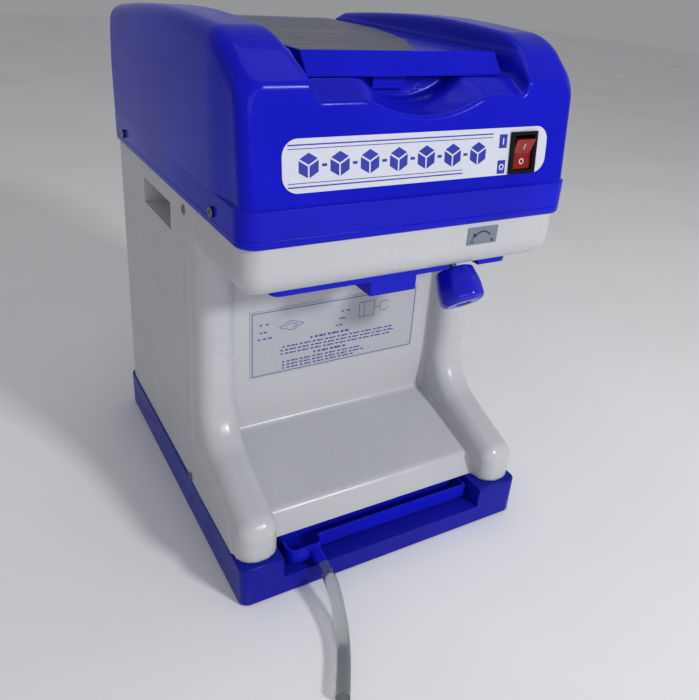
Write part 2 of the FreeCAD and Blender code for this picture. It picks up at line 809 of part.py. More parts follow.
switch_gap = on_face("switch_gap", "switch_wide-3", "switch_tall-3", 30, "switch_x", "switch_z", sink="20")
part(
    cut(
        "hood_cut", hood_shell,
        rod("hopper_mouth", 0, "drum_y", "channel_floor-10", HOPPER_MOUTH, 20),
        hinge_rod("hood_pin_hole", "pin_round", "-%d" % PIN_OUTER, "%d" % PIN_OUTER),
        rod("plunger_hole", PLUNGER_X, PLUNGER_Y, "channel_floor-10", "1.6+run_gap", 20),
        switch_gap,
        *band_screws(hole, "hood_band_hole"),
    ),
    "hood",
)
part(fuse("hood_screw_set", *band_screws(screw, "hood_screw")), "hood_screws")
pins = [hinge_rod("left_pin", "pin_round", "-%d" % PIN_OUTER, "-%d" % PIN_INNER),
        hinge_rod("right_pin", "pin_round", "%d" % PIN_INNER, "%d" % PIN_OUTER)]
part(fuse("pin_set", *pins), "lid_hinge_pins")

LID_LOW = "channel_floor+0.6"


def lid_side(tag, inset):
    """The lid's outline from the side, drawn in by inset; open below when it is."""
    low = LID_LOW if inset == "0" else "channel_floor-5"
    rear_low = "hinge_high-6" if inset == "0" else "channel_floor-6"
    return prism(
        "lid_side" + tag, "YZ",
        [
            ("lid_front+" + inset, low),
            ("lid_front+" + inset, "channel_floor+2.5"),
            ("lid_front+lid_lean+1.4*" + inset, "lid_top-" + inset),
            ("hinge_back+6-" + inset, "lid_top-" + inset),
            ("hinge_back+6-" + inset, rear_low),
            ("hinge_back-12-" + inset, rear_low),
            ("hinge_back-12-" + inset, low),
        ],
        "2*(lid_half-%s)" % inset,
    )


pin_bore = hinge_rod("lid_pin_bore", "pin_round+run_gap", "-lid_half-5", "lid_half+5")
pin_eyes = [hinge_rod("left_eye", 5.5, "-lid_half+1", "-lid_half+14"),
            hinge_rod("right_eye", 5.5, "lid_half-14", "lid_half-1")]
catch_tab = block(
    "catch_tab", -28, 1, "lid_front+8", "lid_front+11", "channel_floor-9", "lid_top-6"
)
press_rib = block(
    "press_rib", PLUNGER_X - 3, PLUNGER_X + 3, PLUNGER_Y - 6, PLUNGER_Y + 6, LID_LOW, "lid_top-lid_wall+0.5"
)
part(
    cut(
        "lid_cut",
        fuse("lid_solid", cut("lid_shell", lid_side("_outer", "0"), lid_side("_inner", "lid_wall")),
             catch_tab, press_rib, *pin_eyes),
        pin_bore,
    ),
    "lid",
)
switch_case = block("lid_switch_case", PLUNGER_X - 4, PLUNGER_X + 4, PLUNGER_Y - 11, PLUNGER_Y + 11,
                    "channel_floor-hood_wall-14", "channel_floor-hood_wall")
part(
    cut("lid_switch_cut", switch_case,
        rod("plunger_guide", PLUNGER_X, PLUNGER_Y, "channel_floor-hood_wall-8", "1.6+run_gap", 20)),
    "lid_switch",
)
part(rod("plunger_rod", PLUNGER_X, PLUNGER_Y, "channel_floor-hood_wall-5.5", 1.6, "hood_wall+5.8"),
     "switch_plunger")

# ---------------------------------------------------------------------------
# Labels and the power switch
# ---------------------------------------------------------------------------

label_blank = on_face(
    "label_blank", "2*label_half", "label_high-label_low", 0.8, "0", "(label_low+label_high)/2"
)


def label_end(edge):
    spot = middle(edge)
    return abs(abs(spot.x) - size("label_half")) < 0.1 and edge.Length < 2


part(
    cut("label_cut", rounded("label_rounded", label_blank, (12, label_end)),
        on_face("label_switch_gap", "switch_wide-3", "switch_tall-3", 10, "switch_x", "switch_z", sink="5")),
    "front_label",
)
part(
    fuse("mark_set", on_face("on_mark", 7.5, 10.5, 0.4, 72.5, 398.7, sink="-0.8"),
         on_face("off_mark", 7.5, 10.5, 0.4, 72.5, 378.7, sink="-0.8")),
    "switch_marks",
)
bezel = on_face("bezel_block", "switch_wide", "switch_tall", 2.2, "switch_x", "switch_z", sink="-0.8")
well = on_face("switch_well", "switch_wide-3", "switch_tall-3", 22.8, "switch_x", "switch_z", sink="22")
mouth = on_face("switch_mouth", "switch_wide-7", "switch_tall-5.6", 40, "switch_x", "switch_z", sink="18")


def rocker_spot(v, n):
    """Local place on the hood's face, v up it and n out of it from the switch centre, as (y, z)."""
    centre = Vector(0, evaluate(face_y("switch_z")), size("switch_z"))
    spot = centre + FACE_TURN.multVec(Vector(0, v, n))
    return spot.y, spot.z


PIVOT_DEEP = -4.0
pivot_y, pivot_z = rocker_spot(0, PIVOT_DEEP)
rocker_half = "(switch_wide-8)/2"
rocker_pin = rod("rocker_axle", "switch_x-switch_wide/2+2", pivot_y, pivot_z, 1, "switch_wide-4", RIGHTWARD)
part(cut("switch_cut", fuse("switch_solid", bezel, well), mouth, rocker_pin), "switch_housing")
part(rocker_pin, "rocker_pin")
tilt = math.radians(size("rocker_tilt"))
ROCKER_SECTION = ((-12.2, 3.2), (0, 0.9), (12.2, 3.2), (12.2, 0.5), (8.5, -8.5), (-8.5, -8.5), (-12.2, 0.5))
corners = []
for v, n in ROCKER_SECTION:
    n -= PIVOT_DEEP
    turned_v = v * math.cos(tilt) - n * math.sin(tilt)
    turned_n = v * math.sin(tilt) + n * math.cos(tilt)
    corners.append(rocker_spot(turned_v, turned_n + PIVOT_DEEP))
rocker_body = prism("rocker_body", "YZ", corners, "2*" + rocker_half, shift="switch_x")
part(
    cut("rocker_cut", rocker_body,
        rod("rocker_bore", "switch_x-20", pivot_y, pivot_z, "1+run_gap", 40, RIGHTWARD)),
    "rocker",
)
part(block("adjust_blank", 48, 79, "head_front-0.6", "head_front", 315, 330), "adjust_label")
part(block("instruction_blank", -94, 94, "bay_back-0.5", "bay_back", 150.5, 223), "instruction_label")

# ---------------------------------------------------------------------------
# Underside of the head: plate, chute and adjuster
# ---------------------------------------------------------------------------

PLATE_THICK = 7
STEM_LONG = 38
knob_turn = Rotation(Vector(1, 0, 0), 180 - size("knob_tilt"))
knob_axis = knob_turn.multVec(Vector(0, 0, 1))


def knob_rod(name, radius, start, end):
    """A rod on the knob's axis; distances run from the knob's inner end towards its outer end."""
    spots = ["%s+(%s)*(%s)" % (word, start, part_of)
             for word, part_of in (("knob_x", knob_axis.x), ("knob_y", knob_axis.y), ("knob_z", knob_axis.z))]
    return rod(name, *spots, radius, "(%s)-(%s)" % (end, start), knob_turn)


plate_blank = rounded(
    "plate_blank",
    block("plate_block", -116, 116, -158, -82, "head_under-%s" % PLATE_THICK, "head_under"),
    (8, upright),
)
FLANGE_SPOTS = [(x, y) for x in (-28.5, 28.5) for y in (-143, -112)]


def chute_holes(tag, z):
    """Clearances for the chute screws, from a height."""
    return [hole("%s_%d" % (tag, n), x, y, z, UP, radius=1.5) for n, (x, y) in enumerate(FLANGE_SPOTS)]


chute_span = ("-chute_half", "chute_half", "chute_front", "chute_back")
part(
    cut("plate_cut", plate_blank,
        block("chute_gap", *chute_span, "head_under-10", "head_under+5"),
        block("stem_gap", "knob_x-16", "knob_x+16", -170, -122, "head_under-10", "head_under+5"),
        *chute_holes("chute_screw_hole", "head_under")),
    "bottom_plate",
)
chute_flange = block(
    "chute_flange", "-chute_half-10", "chute_half+10", "chute_front", "chute_back+6",
    "head_under", "head_under+2",
)
chute_bore = block(
    "chute_bore", "-chute_half+2", "chute_half-2", "chute_front+2", "chute_back-2",
    "chute_low-5", "head_under+10",
)
chute_block = block("chute_block", *chute_span, "chute_low", "head_under+4.5")
part(
    cut("chute_cut", fuse("chute_solid", chute_block, chute_flange), chute_bore,
        *chute_holes("flange_hole", "head_under+2")),
    "ice_chute",
)
part(
    fuse("chute_screw_set", *[screw("chute_screw_%d" % n, x, y, "head_under+2", UP, head=3, head_high=1.8,
                                    shank=1.5, deep=6) for n, (x, y) in enumerate(FLANGE_SPOTS)]),
    "chute_screws",
)

FLUTES = 8
FLUTE_ROUND = 12
FLUTE_REACH = 30.9
knob_section = (
    ("0", "0"), ("knob_round-3", "0"), ("knob_round-1", "1"), ("knob_round", "4"),
    ("knob_round", "knob_long-8"), ("knob_round-2", "knob_long-3"), ("knob_round-6", "knob_long"),
    ("6", "knob_long"), ("6", "knob_long-3"), ("0", "knob_long-3"),
)
knob_body = turned("knob_body", knob_section, "knob_x", "knob_y", "knob_z", knob_turn)
flute_rods = []
for n in range(FLUTES):
    around = 2 * math.pi * n / FLUTES
    spot = knob_turn.multVec(Vector(FLUTE_REACH * math.cos(around), FLUTE_REACH * math.sin(around), -5))
    spots = ["%s+(%s)" % pair for pair in zip(("knob_x", "knob_y", "knob_z"), spot)]
    flute_rods.append(rod("flute_%d" % n, *spots, FLUTE_ROUND, 42, knob_turn))
knob_bores = [knob_rod("knob_bore", "stem_round", -5, 22), knob_rod("knob_screw_bore", 1.5, 16, 30)]
part(cut("knob_cut", knob_body, *knob_bores, *flute_rods), "adjuster_knob")
knob_screw = (
    knob_rod("knob_screw_head", 4, "knob_long-3", "knob_long-1"),
    knob_rod("knob_screw_shank", 1.5, 22, "knob_long-3"),
)
part(fuse("knob_screw_solid", *knob_screw), "knob_screw")
part(knob_rod("stem_rod", "stem_round", -STEM_LONG, 22), "adjuster_stem")
bush_bore = knob_rod("bush_bore", "stem_round+run_gap", -34, -14)
part(cut("bush_cut", knob_rod("bush_body", 8, -30, -18), bush_bore), "stem_bush")
part(
    cut("bracket_cut", block("bracket_block", "knob_x-13", "knob_x+13", -136, -104, 297, "deck_low"),
        knob_rod("bracket_bore", 8, -64, -9)),
    "stem_bracket",
)

# ---------------------------------------------------------------------------
# Ice drum, blade and rotor
# ---------------------------------------------------------------------------

deck_top = "(deck_low+deck_thick)"
plate_top = "(deck_low+deck_thick+plate_thick)"
BOSS_HIGH = 11
BOSS_ROUND = 19
SLOT = {"low_x": -4, "high_x": 12, "low_y": "drum_y-66", "high_y": "drum_y-36"}
HOLDER = {"low_x": -15, "high_x": 23, "low_y": "drum_y-68.5", "high_y": "drum_y-34.5"}
GAP = 1
FRAME_X = 95
FRAME_THICK = 3
FRAME_FRONT, FRAME_BACK = -40, 112

deck_blank = rounded(
    "deck_blank", block("deck_block", -118, 118, -165, 130, "deck_low", deck_top), (12, upright)
)
deck_slot = block(
    "deck_slot", HOLDER["low_x"] - GAP, HOLDER["high_x"] + GAP, "%s-%d" % (HOLDER["low_y"], GAP),
    "%s+%d" % (HOLDER["high_y"], GAP), "deck_low-5", deck_top + "+5",
)
deck_bore = rod("deck_bore", 0, "drum_y", "deck_low-5", "bearing_round+1", 20)
part(cut("deck_cut", deck_blank, deck_bore, deck_slot), "drum_deck")
blade_disc = turned(
    "blade_disc",
    (
        ("bearing_round", deck_top), ("76", deck_top), ("76", plate_top), (BOSS_ROUND, plate_top),
        (BOSS_ROUND, plate_top + "+%d" % BOSS_HIGH), ("bearing_round", plate_top + "+%d" % BOSS_HIGH),
    ),
    "0", "drum_y", "0",
)
ice_slot = block("ice_slot", low_z=deck_top + "-5", high_z=plate_top + "+5", **SLOT)
part(cut("blade_plate_cut", blade_disc, ice_slot), "blade_plate")
part(
    turned(
        "drum_section",
        (
            ("drum_bore", plate_top), ("76", plate_top), ("76", plate_top + "+2.5"),
            ("drum_bore+drum_wall", plate_top + "+2.5"), ("drum_bore+drum_wall", plate_top + "+drum_high"),
            ("drum_bore", plate_top + "+drum_high"),
        ),
        "0", "drum_y", "0",
    ),
    "ice_drum",
)
part(
    turned(
        "funnel_section",
        (
            ("66.5", "402"), ("drum_bore-0.5", "402"), ("drum_bore-0.5", "410.5"),
            ("drum_bore+2", "410.5"), ("drum_bore+2", "413"), (HOPPER_MOUTH + 3, "422.5"),
            (HOPPER_MOUTH + 3, "channel_floor-hood_wall"), (HOPPER_MOUTH, "channel_floor-hood_wall"),
            (HOPPER_MOUTH, "421"), ("66.5", "412.5"),
        ),
        "0", "drum_y", "0",
    ),
    "hopper_funnel",
)

BLADE = {"wide": 17, "thick": 1.6, "long": 29, "lean": 45}
blade_block = doc.addObject("Part::Box", "blade_block")
blade_block.Placement = Placement(Vector(), Rotation(Vector(0, 1, 0), BLADE["lean"]))
bind(blade_block, Length=BLADE["wide"], Width=BLADE["long"], Height=BLADE["thick"],
     x="0.6", y="drum_y-65.5", z=plate_top + "-0.75")
part(blade_block, "blade")
holder_block = block("holder_block", low_z="deck_low-8", high_z=deck_top + "-0.5", **HOLDER)
BLADE_SCREWS = [(17.5, "drum_y-60"), (17.5, "drum_y-42")]
link_arm = block("link_arm", HOLDER["high_x"], "knob_x-13.5", -116, -108, "deck_low-7", "deck_low-2")
part(
    cut("holder_cut", fuse("holder_solid", holder_block, link_arm),
        block("holder_slot", -4, 9.5, "drum_y-65.5", "drum_y-36.5", "deck_low-20", deck_top + "+5"),
        blade_block,
        *[hole("blade_hole_%d" % n, x, y, "deck_low-8", DOWN, radius=1.5, deep=8)
          for n, (x, y) in enumerate(BLADE_SCREWS)]),
    "blade_holder",
)
part(
    fuse("blade_screw_set", *[screw("blade_screw_%d" % n, x, y, "deck_low-8", DOWN, head=3, head_high=1.6,
                                    shank=1.5, deep=8) for n, (x, y) in enumerate(BLADE_SCREWS)]),
    "blade_screws",
)

vane_low = plate_top + "+1.6"
hub = turned(
    "rotor_hub",
    (
        (BOSS_ROUND + 1.5, vane_low), (BOSS_ROUND + 5, vane_low), (BOSS_ROUND + 5, plate_top + "+24"),
        ("13", plate_top + "+48"), ("shaft_round", plate_top + "+48"),
        ("shaft_round", plate_top + "+%d+3" % BOSS_HIGH), (BOSS_ROUND + 1.5, plate_top + "+%d+3" % BOSS_HIGH),
    ),
    "0", "drum_y", "0",
)
VANES = 3
vanes = []
for n in range(VANES):
    vane = doc.addObject("Part::Box", "vane_%d" % n)
    spin = Rotation(Vector(0, 0, 1), 30 + 360 * n / VANES)
    vane.Placement = Placement(Vector(), spin)
    start = spin.multVec(Vector(BOSS_ROUND + 3, -2, 0))
    bind(vane, Length="vane_reach-%s" % (BOSS_ROUND + 3), Width=4, Height=34,
         x="%s" % start.x, y="drum_y+(%s)" % start.y, z=vane_low)
    vanes.append(vane)
part(fuse("rotor_solid", hub, *vanes), "ice_rotor")
shaft_long = plate_top + "+48-(belt_low-1.5)"
part(rod("shaft_rod", 0, "drum_y", "belt_low-1.5", "shaft_round", shaft_long), "rotor_shaft")
nut_body = turned(
    "nut_body",
    (("0", plate_top + "+48"), ("11", plate_top + "+48"), ("11", plate_top + "+54"),
     ("7", plate_top + "+59"), ("0", plate_top + "+60")),
    "0", "drum_y", "0",
)
nut_flats = [
    block("nut_flat_front", -20, 20, "drum_y-30", "drum_y-9.5", plate_top + "+47", plate_top + "+70"),
    block("nut_flat_back", -20, 20, "drum_y+9.5", "drum_y+30", plate_top + "+47", plate_top + "+70"),
]
part(cut("nut_cut", nut_body, *nut_flats), "rotor_nut")


def bearing(name, y, low, inner, outer, high):
    """One bearing as a plain ring that just clears its shaft."""
    bore = inner + "+run_gap"
    top = "%s+%s" % (low, high)
    return turned(name, ((bore, low), (outer, low), (outer, top), (bore, top)), "0", y, "0")


part(
    fuse("rotor_bearing_set",
         bearing("lower_bearing", "drum_y", deck_top, "shaft_round", "bearing_round", 8),
         bearing("upper_bearing", "drum_y", plate_top + "+2", "shaft_round", "bearing_round", 8)),
    "rotor_bearings",
)

# ---------------------------------------------------------------------------
# Belt drive and motor
# ---------------------------------------------------------------------------

MOTOR_SHAFT = 5
BELT_CLEAR = 0.35
BELT_THIN = 2.6


def pulley(name, outer, bore, y):
    """A V pulley with its groove round the belt."""
    low, high = "belt_low-1", "belt_low+belt_high+1"
    return turned(
        name,
        (
            (bore, low), (outer, low), (outer, "belt_low"), (outer + "-belt_deep", "belt_low+1.2"),
            (outer + "-belt_deep", "belt_low+belt_high-1.2"), (outer, "belt_low+belt_high"), (outer, high),
            (bore, high),
        ),
        "0", y, "0",
    )


part(pulley("rotor_pulley_body", "rotor_pulley_round", "shaft_round", "drum_y"), "rotor_pulley")
part(pulley("motor_pulley_body", "motor_pulley_round", str(MOTOR_SHAFT), "motor_y"), "motor_pulley")


def belt_loop(first, second, first_y, second_y):
    """The outline of a belt round two circles on the machine's centre line."""
    span = second_y - first_y
    lean = math.asin((first - second) / span)
    side = Vector(math.cos(lean), math.sin(lean), 0)
    mirror = Vector(-side.x, side.y, 0)
    height = size("belt_low") + (size("belt_high") - BELT_THIN) / 2
    near, far = Vector(0, first_y, height), Vector(0, second_y, height)
    edges = [
        Part.LineSegment(near + side * first, far + side * second).toShape(),
        Part.Arc(far + side * second, far + Vector(0, second, 0), far + mirror * second).toShape(),
        Part.LineSegment(far + mirror * second, near + mirror * first).toShape(),
        Part.Arc(near + mirror * first, near - Vector(0, first, 0), near + side * first).toShape(),
    ]
    return Part.Face(Part.Wire(edges))


pulley_rounds = (size("rotor_pulley_round"), size("motor_pulley_round"))
belt_inner = [radius - size("belt_deep") + BELT_CLEAR for radius in pulley_rounds]
belt_outer = [radius + size("belt_deep") for radius in belt_inner]
axes = (size("drum_y"), size("motor_y"))
belt_face = belt_loop(*belt_outer, *axes).cut(belt_loop(*belt_inner, *axes))
made("drive_belt", belt_face.extrude(Vector(0, 0, BELT_THIN)))

MOTOR_SCREWS = [(x, "motor_y+(%d)" % y) for x in (-32, 32) for y in (-32, 32)]


def motor_screws(maker, tag, **extra):
    """Screws or holes that hold the motor under its plate."""
    return [maker("%s_%d" % (tag, n), x, y, "motor_top+4", UP, deep=14, **extra)
            for n, (x, y) in enumerate(MOTOR_SCREWS)]


motor_plate = block(
    "motor_plate_block", -FRAME_X, FRAME_X, "motor_y-60", "motor_y+60", "motor_top", "motor_top+4"
)
part(
    cut("motor_plate_cut", motor_plate, rod("motor_plate_bore", 0, "motor_y", "motor_top-5", 16, 20),
        *motor_screws(hole, "motor_hole", radius=2.5)),
    "motor_plate",
)
BELL_HIGH = 26
BELL_BORE = MOTOR_SHAFT + 6
top_bell = turned(
    "top_bell",
    (
        (BELL_BORE, "motor_top-%d" % BELL_HIGH), ("motor_round", "motor_top-%d" % BELL_HIGH),
        ("motor_round", "motor_top-12"), ("motor_round-12", "motor_top"), (BELL_BORE, "motor_top"),
    ),
    "0", "motor_y", "0",
)
part(cut("top_bell_cut", top_bell, *motor_screws(hole, "bell_hole", radius=2.5)), "motor_top_bell")
part(
    turned(
        "low_bell",
        (
            (BELL_BORE, "motor_low"), ("motor_round-14", "motor_low"), ("motor_round", "motor_low+12"),
            ("motor_round", "motor_low+24"), (BELL_BORE, "motor_low+24"),
        ),
        "0", "motor_y", "0",
    ),
    "motor_low_bell",
)
part(
    turned(
        "stator_ring",
        (
            ("31", "motor_low+24"), ("motor_round-3", "motor_low+24"),
            ("motor_round-3", "motor_top-%d" % BELL_HIGH), ("31", "motor_top-%d" % BELL_HIGH),
        ),
        "0", "motor_y", "0",
    ),
    "motor_stator",
)
part(
    turned(
        "armature_ring",
        (
            (str(MOTOR_SHAFT), "motor_low+30"), ("30.5", "motor_low+30"),
            ("30.5", "motor_top-%d-6" % BELL_HIGH), (str(MOTOR_SHAFT), "motor_top-%d-6" % BELL_HIGH),
        ),
        "0", "motor_y", "0",
    ),
    "motor_armature",
)
motor_shaft_long = "belt_low+belt_high+2-(motor_low+4)"
part(rod("motor_shaft_rod", 0, "motor_y", "motor_low+4", MOTOR_SHAFT, motor_shaft_long), "motor_shaft")
part(
    fuse("motor_bearing_set",
         bearing("motor_low_bearing", "motor_y", "(motor_low+6)", str(MOTOR_SHAFT), BELL_BORE, 9),
         bearing("motor_top_bearing", "motor_y", "(motor_top-14)", str(MOTOR_SHAFT), BELL_BORE, 9)),
    "motor_bearings",
)
part(
    fuse("motor_screw_set", *motor_screws(screw, "motor_screw", head=5, head_high=3, shank=2.5)),
    "motor_screws",
)

# ---------------------------------------------------------------------------
# Chassis and electrics
# ---------------------------------------------------------------------------

FLANGE_WIDE = 22
part(block("chassis_block", -125, 125, "seam+4", 150, "base_top", "base_top+3"), "chassis_plate")
for sign, _, side in SIDES:
    web = sorted((sign * FRAME_X, sign * (FRAME_X + FRAME_THICK)))
    flange = sorted((sign * FRAME_X, sign * (FRAME_X + FLANGE_WIDE)))
    depth = (FRAME_FRONT, FRAME_BACK)
    frame_web = block(side + "_web", *web, *depth, "base_top+3", "deck_low")
    low_flange = block(side + "_low_flange", *flange, *depth, "base_top+3", "base_top+6")
    top_flange = block(side + "_top_flange", *flange, *depth, "deck_low-3", "deck_low")
    part(fuse(side + "_frame_solid", frame_web, low_flange, top_flange), side + "_frame")
part(rod("capacitor_can", 60, 118, "base_top+3", 17, 58), "motor_capacitor")
part(block("terminal_body", -70, -20, 108, 128, "base_top+3", "base_top+21"), "terminal_block")
inlet_flange = block(
    "inlet_flange", INLET_X - 25, INLET_X + 25, "body_back", "body_back+3", INLET_Z - 12, INLET_Z + 12
)
inlet_body = block(
    "inlet_body", INLET_X - 13.5, INLET_X + 13.5, "body_back-22", "body_back", INLET_Z - 10, INLET_Z + 10
)
inlet_socket = block(
    "inlet_socket", INLET_X - 12, INLET_X + 12, "body_back-17", "body_back+5", INLET_Z - 8.2, INLET_Z + 8.2
)
part(cut("inlet_cut", fuse("inlet_solid", inlet_flange, inlet_body), inlet_socket), "power_inlet")
PIN_PLACES = ((-7, -2.5), (0, 2.5), (7, -2.5))
part(
    fuse("inlet_pin_set", *[
        block("inlet_pin_%d" % n, INLET_X + x - 1, INLET_X + x + 1, "body_back-17", "body_back-3",
              INLET_Z + z - 2, INLET_Z + z + 2) for n, (x, z) in enumerate(PIN_PLACES)]),
    "inlet_pins",
)

# ---------------------------------------------------------------------------
# Check and write out
# ---------------------------------------------------------------------------

doc.recompute()
faults = [obj.Name for obj in doc.Objects if {"Invalid", "Error"} & set(obj.State)]
for obj in PARTS:
    if obj.Shape.isNull() or not obj.Shape.isValid() or not obj.Shape.Solids:
        faults.append(obj.Label)
if faults:
    raise SystemExit("failed: " + ", ".join(faults))
os.makedirs("parts", exist_ok=True)
for obj in PARTS:
    obj.Shape.exportStep("parts/%s.step" % obj.Label)
print(len(PARTS), "sub-parts written")
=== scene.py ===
"""An electric ice shaver in Blender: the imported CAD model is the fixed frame.

The hood, its band, the front casing, the knob, the hose and the printed marks are built here around it, and
every surface gets a procedural material.

Lengths are in millimetres unless a name says otherwise; MM turns them into Blender's metres.
"""

import json
import math

import bmesh
import bpy
import numpy as np
from mathutils import Matrix, Vector


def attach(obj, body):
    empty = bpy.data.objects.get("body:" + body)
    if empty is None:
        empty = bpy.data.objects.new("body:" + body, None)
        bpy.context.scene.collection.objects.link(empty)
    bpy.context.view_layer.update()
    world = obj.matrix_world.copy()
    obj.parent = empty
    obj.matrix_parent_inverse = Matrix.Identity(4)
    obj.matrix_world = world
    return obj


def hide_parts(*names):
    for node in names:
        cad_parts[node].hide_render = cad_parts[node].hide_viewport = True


MM = 0.001
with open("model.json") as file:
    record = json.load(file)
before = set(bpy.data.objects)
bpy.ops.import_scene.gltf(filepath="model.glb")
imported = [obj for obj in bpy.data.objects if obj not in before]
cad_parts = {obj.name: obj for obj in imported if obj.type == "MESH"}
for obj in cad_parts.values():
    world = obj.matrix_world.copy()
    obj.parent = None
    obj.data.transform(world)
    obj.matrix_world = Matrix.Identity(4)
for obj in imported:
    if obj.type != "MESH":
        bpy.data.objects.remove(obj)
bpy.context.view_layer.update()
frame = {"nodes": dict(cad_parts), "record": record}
nodes = frame["nodes"]

# ---------------------------------------------------------------------------
# Camera
# ---------------------------------------------------------------------------

CAMERA_SPOT = (-317.1, -612.3, 514.4)
CAMERA_LOOK = (0.4620, 0.7586, -0.4594)
CAMERA_ROLL = math.radians(4.28)
CAMERA_LENS = 36.57
CAMERA_SHIFT = (-0.0071, -0.0226)


def add_camera():
    """The camera from its place, the direction it looks in and its roll."""
    look = Vector(CAMERA_LOOK).normalized()
    level = look.cross(Vector((0, 0, 1))).normalized()
    above = level.cross(look)
    right = level * math.cos(CAMERA_ROLL) + above * math.sin(CAMERA_ROLL)
    up = above * math.cos(CAMERA_ROLL) - level * math.sin(CAMERA_ROLL)
    data = bpy.data.cameras.new("camera")
    data.lens = CAMERA_LENS
    data.shift_x, data.shift_y = CAMERA_SHIFT
    data.clip_start, data.clip_end = 0.01, 30
    camera = bpy.data.objects.new("camera", data)
    bpy.context.scene.collection.objects.link(camera)
    turn = Matrix((right, up, -look)).transposed().to_4x4()
    camera.matrix_world = Matrix.Translation(Vector(CAMERA_SPOT) * MM) @ turn
    bpy.context.scene.camera = camera


add_camera()

# ---------------------------------------------------------------------------
# Materials
# ---------------------------------------------------------------------------


def linear(red, green, blue):
    """Display values from 0 to 255 as the linear colour that shaders use."""
    def one(value):
        value /= 255
        return value / 12.92 if value <= 0.04045 else ((value + 0.055) / 1.055) ** 2.4
    return (one(red), one(green), one(blue), 1)


class Surface:
    """A material under construction: a Principled shader and short ways to add nodes to it."""

    def __init__(self, name, **values):
        self.material = bpy.data.materials.new(name)
        self.material.use_nodes = True
        self.tree = self.material.node_tree
        self.shader = self.tree.nodes["Principled BSDF"]
        self.place = self.tree.nodes.new("ShaderNodeTexCoord").outputs["Object"]
        for socket, value in values.items():
            self.shader.inputs[socket.replace("_", " ")].default_value = value

    def node(self, kind):
        return self.tree.nodes.new("ShaderNode" + kind)

    def link(self, output, target):
        self.tree.links.new(output, target)

    def stretched(self, scale):
        """Object coordinates in metres, scaled along each axis."""
        mapping = self.node("Mapping")
        mapping.inputs["Scale"].default_value = scale
        self.link(self.place, mapping.inputs["Vector"])
        return mapping.outputs["Vector"]

    def noise(self, scale, detail=3.0, stretch=(1, 1, 1), rough=0.5):
        """Values from 0 to 1 that vary over the surface; scale is waves per metre."""
        made = self.node("TexNoise")
        made.inputs["Scale"].default_value = scale
        made.inputs["Detail"].default_value = detail
        made.inputs["Roughness"].default_value = rough
        self.link(self.stretched(stretch), made.inputs["Vector"])
        return made.outputs["Fac"]

    def ramp(self, source, *stops):
        """A colour ramp; each stop is (position, colour or grey)."""
        made = self.node("ValToRGB")
        elements = made.color_ramp.elements
        while len(elements) < len(stops):
            elements.new(0.5)
        for element, (position, colour) in zip(elements, stops):
            element.position = position
            element.color = colour if isinstance(colour, tuple) else (colour, colour, colour, 1)
        self.link(source, made.inputs["Fac"])
        return made.outputs["Color"]

    def bump(self, *layers):
        """Stacked bumps; each layer is (source, strength, height in metres)."""
        below = None
        for source, strength, height in layers:
            made = self.node("Bump")
            made.inputs["Strength"].default_value = strength
            made.inputs["Distance"].default_value = height
            self.link(source, made.inputs["Height"])
            if below is not None:
                self.link(below, made.inputs["Normal"])
            below = made.outputs["Normal"]
        self.link(below, self.shader.inputs["Normal"])

    def colour(self, output):
        self.link(output, self.shader.inputs["Base Color"])

    def roughness(self, output):
        self.link(output, self.shader.inputs["Roughness"])


def tinted(colour, factor):
    return tuple(channel * factor for channel in colour[:3]) + (1,)


def moulded(name, colour, low_rough=0.2, high_rough=0.3, grain=0.0, uneven=0.10, shine=0.1):
    """Moulded plastic: a slow change of shade, a smeared gloss, faint ripples and, if asked for, grain."""
    surface = Surface(name, Specular_IOR_Level=shine)
    slow = surface.noise(14, 2)
    surface.colour(surface.ramp(slow, (0.3, tinted(colour, 1 - uneven)), (0.7, tinted(colour, 1 + uneven))))
    smear = surface.noise(45, 3, stretch=(1, 0.35, 1.6))
    surface.roughness(surface.ramp(smear, (0.32, low_rough), (0.7, high_rough)))
    ripple = surface.noise(35, 1)
    layers = [(ripple, 0.03, 0.002)]
    if grain:
        layers.append((surface.noise(2600, 3), grain, 0.0003))
    surface.bump(*layers)
    return surface.material


def metal(name, colour, rough, brush=(1, 1, 1), depth=0.15):
    """Bare metal with brush lines along the axis whose stretch is small."""
    surface = Surface(name, Metallic=1.0)
    lines = surface.noise(900, 4, stretch=brush)
    surface.colour(surface.ramp(lines, (0.3, tinted(colour, 0.82)), (0.7, colour)))
    surface.roughness(surface.ramp(surface.noise(40, 4), (0.3, rough), (0.75, rough + 0.14)))
    surface.bump((lines, depth, 0.0002))
    return surface.material


def printed(name, colour):
    """Printed film: flat ink with a faint mottle and a soft gloss."""
    surface = Surface(name)
    mottle = surface.noise(400, 3)
    surface.colour(surface.ramp(mottle, (0.35, tinted(colour, 0.95)), (0.65, colour)))
    surface.roughness(surface.ramp(surface.noise(30, 3), (0.3, 0.35), (0.7, 0.45)))
    surface.bump((mottle, 0.04, 0.0001))
    return surface.material


def scratched_film_with_painted_reflection(name):
    """Clear film over blue plastic, greyed by fine scratches and by a painted grey reflection, in streaks
    that run across it.
    """
    surface = Surface(name)
    # Painted reflection: the grey ramp paints the room's grey that the lid's top reflects, streaked as
    # scratches would be.
    scratch_and_reflection_streaks = surface.noise(110, 5, stretch=(0.14, 1, 1), rough=0.6)
    surface.colour(surface.ramp(
        scratch_and_reflection_streaks, (0.36, linear(56, 58, 92)), (0.56, linear(76, 78, 104)), (0.72, linear(126, 128, 142))))
    surface.roughness(surface.ramp(scratch_and_reflection_streaks, (0.3, 0.24), (0.7, 0.4)))
    surface.bump((scratch_and_reflection_streaks, 0.1, 0.0002))
    return surface.material


def rubber(name, colour):
    surface = Surface(name, Specular_IOR_Level=0.35)
    dust = surface.noise(120, 5, rough=0.65)
    surface.colour(surface.ramp(dust, (0.4, colour), (0.8, tinted(colour, 1.8))))
    surface.roughness(surface.ramp(dust, (0.3, 0.6), (0.7, 0.78)))
    surface.bump((surface.noise(1800, 2), 0.15, 0.0003))
    return surface.material


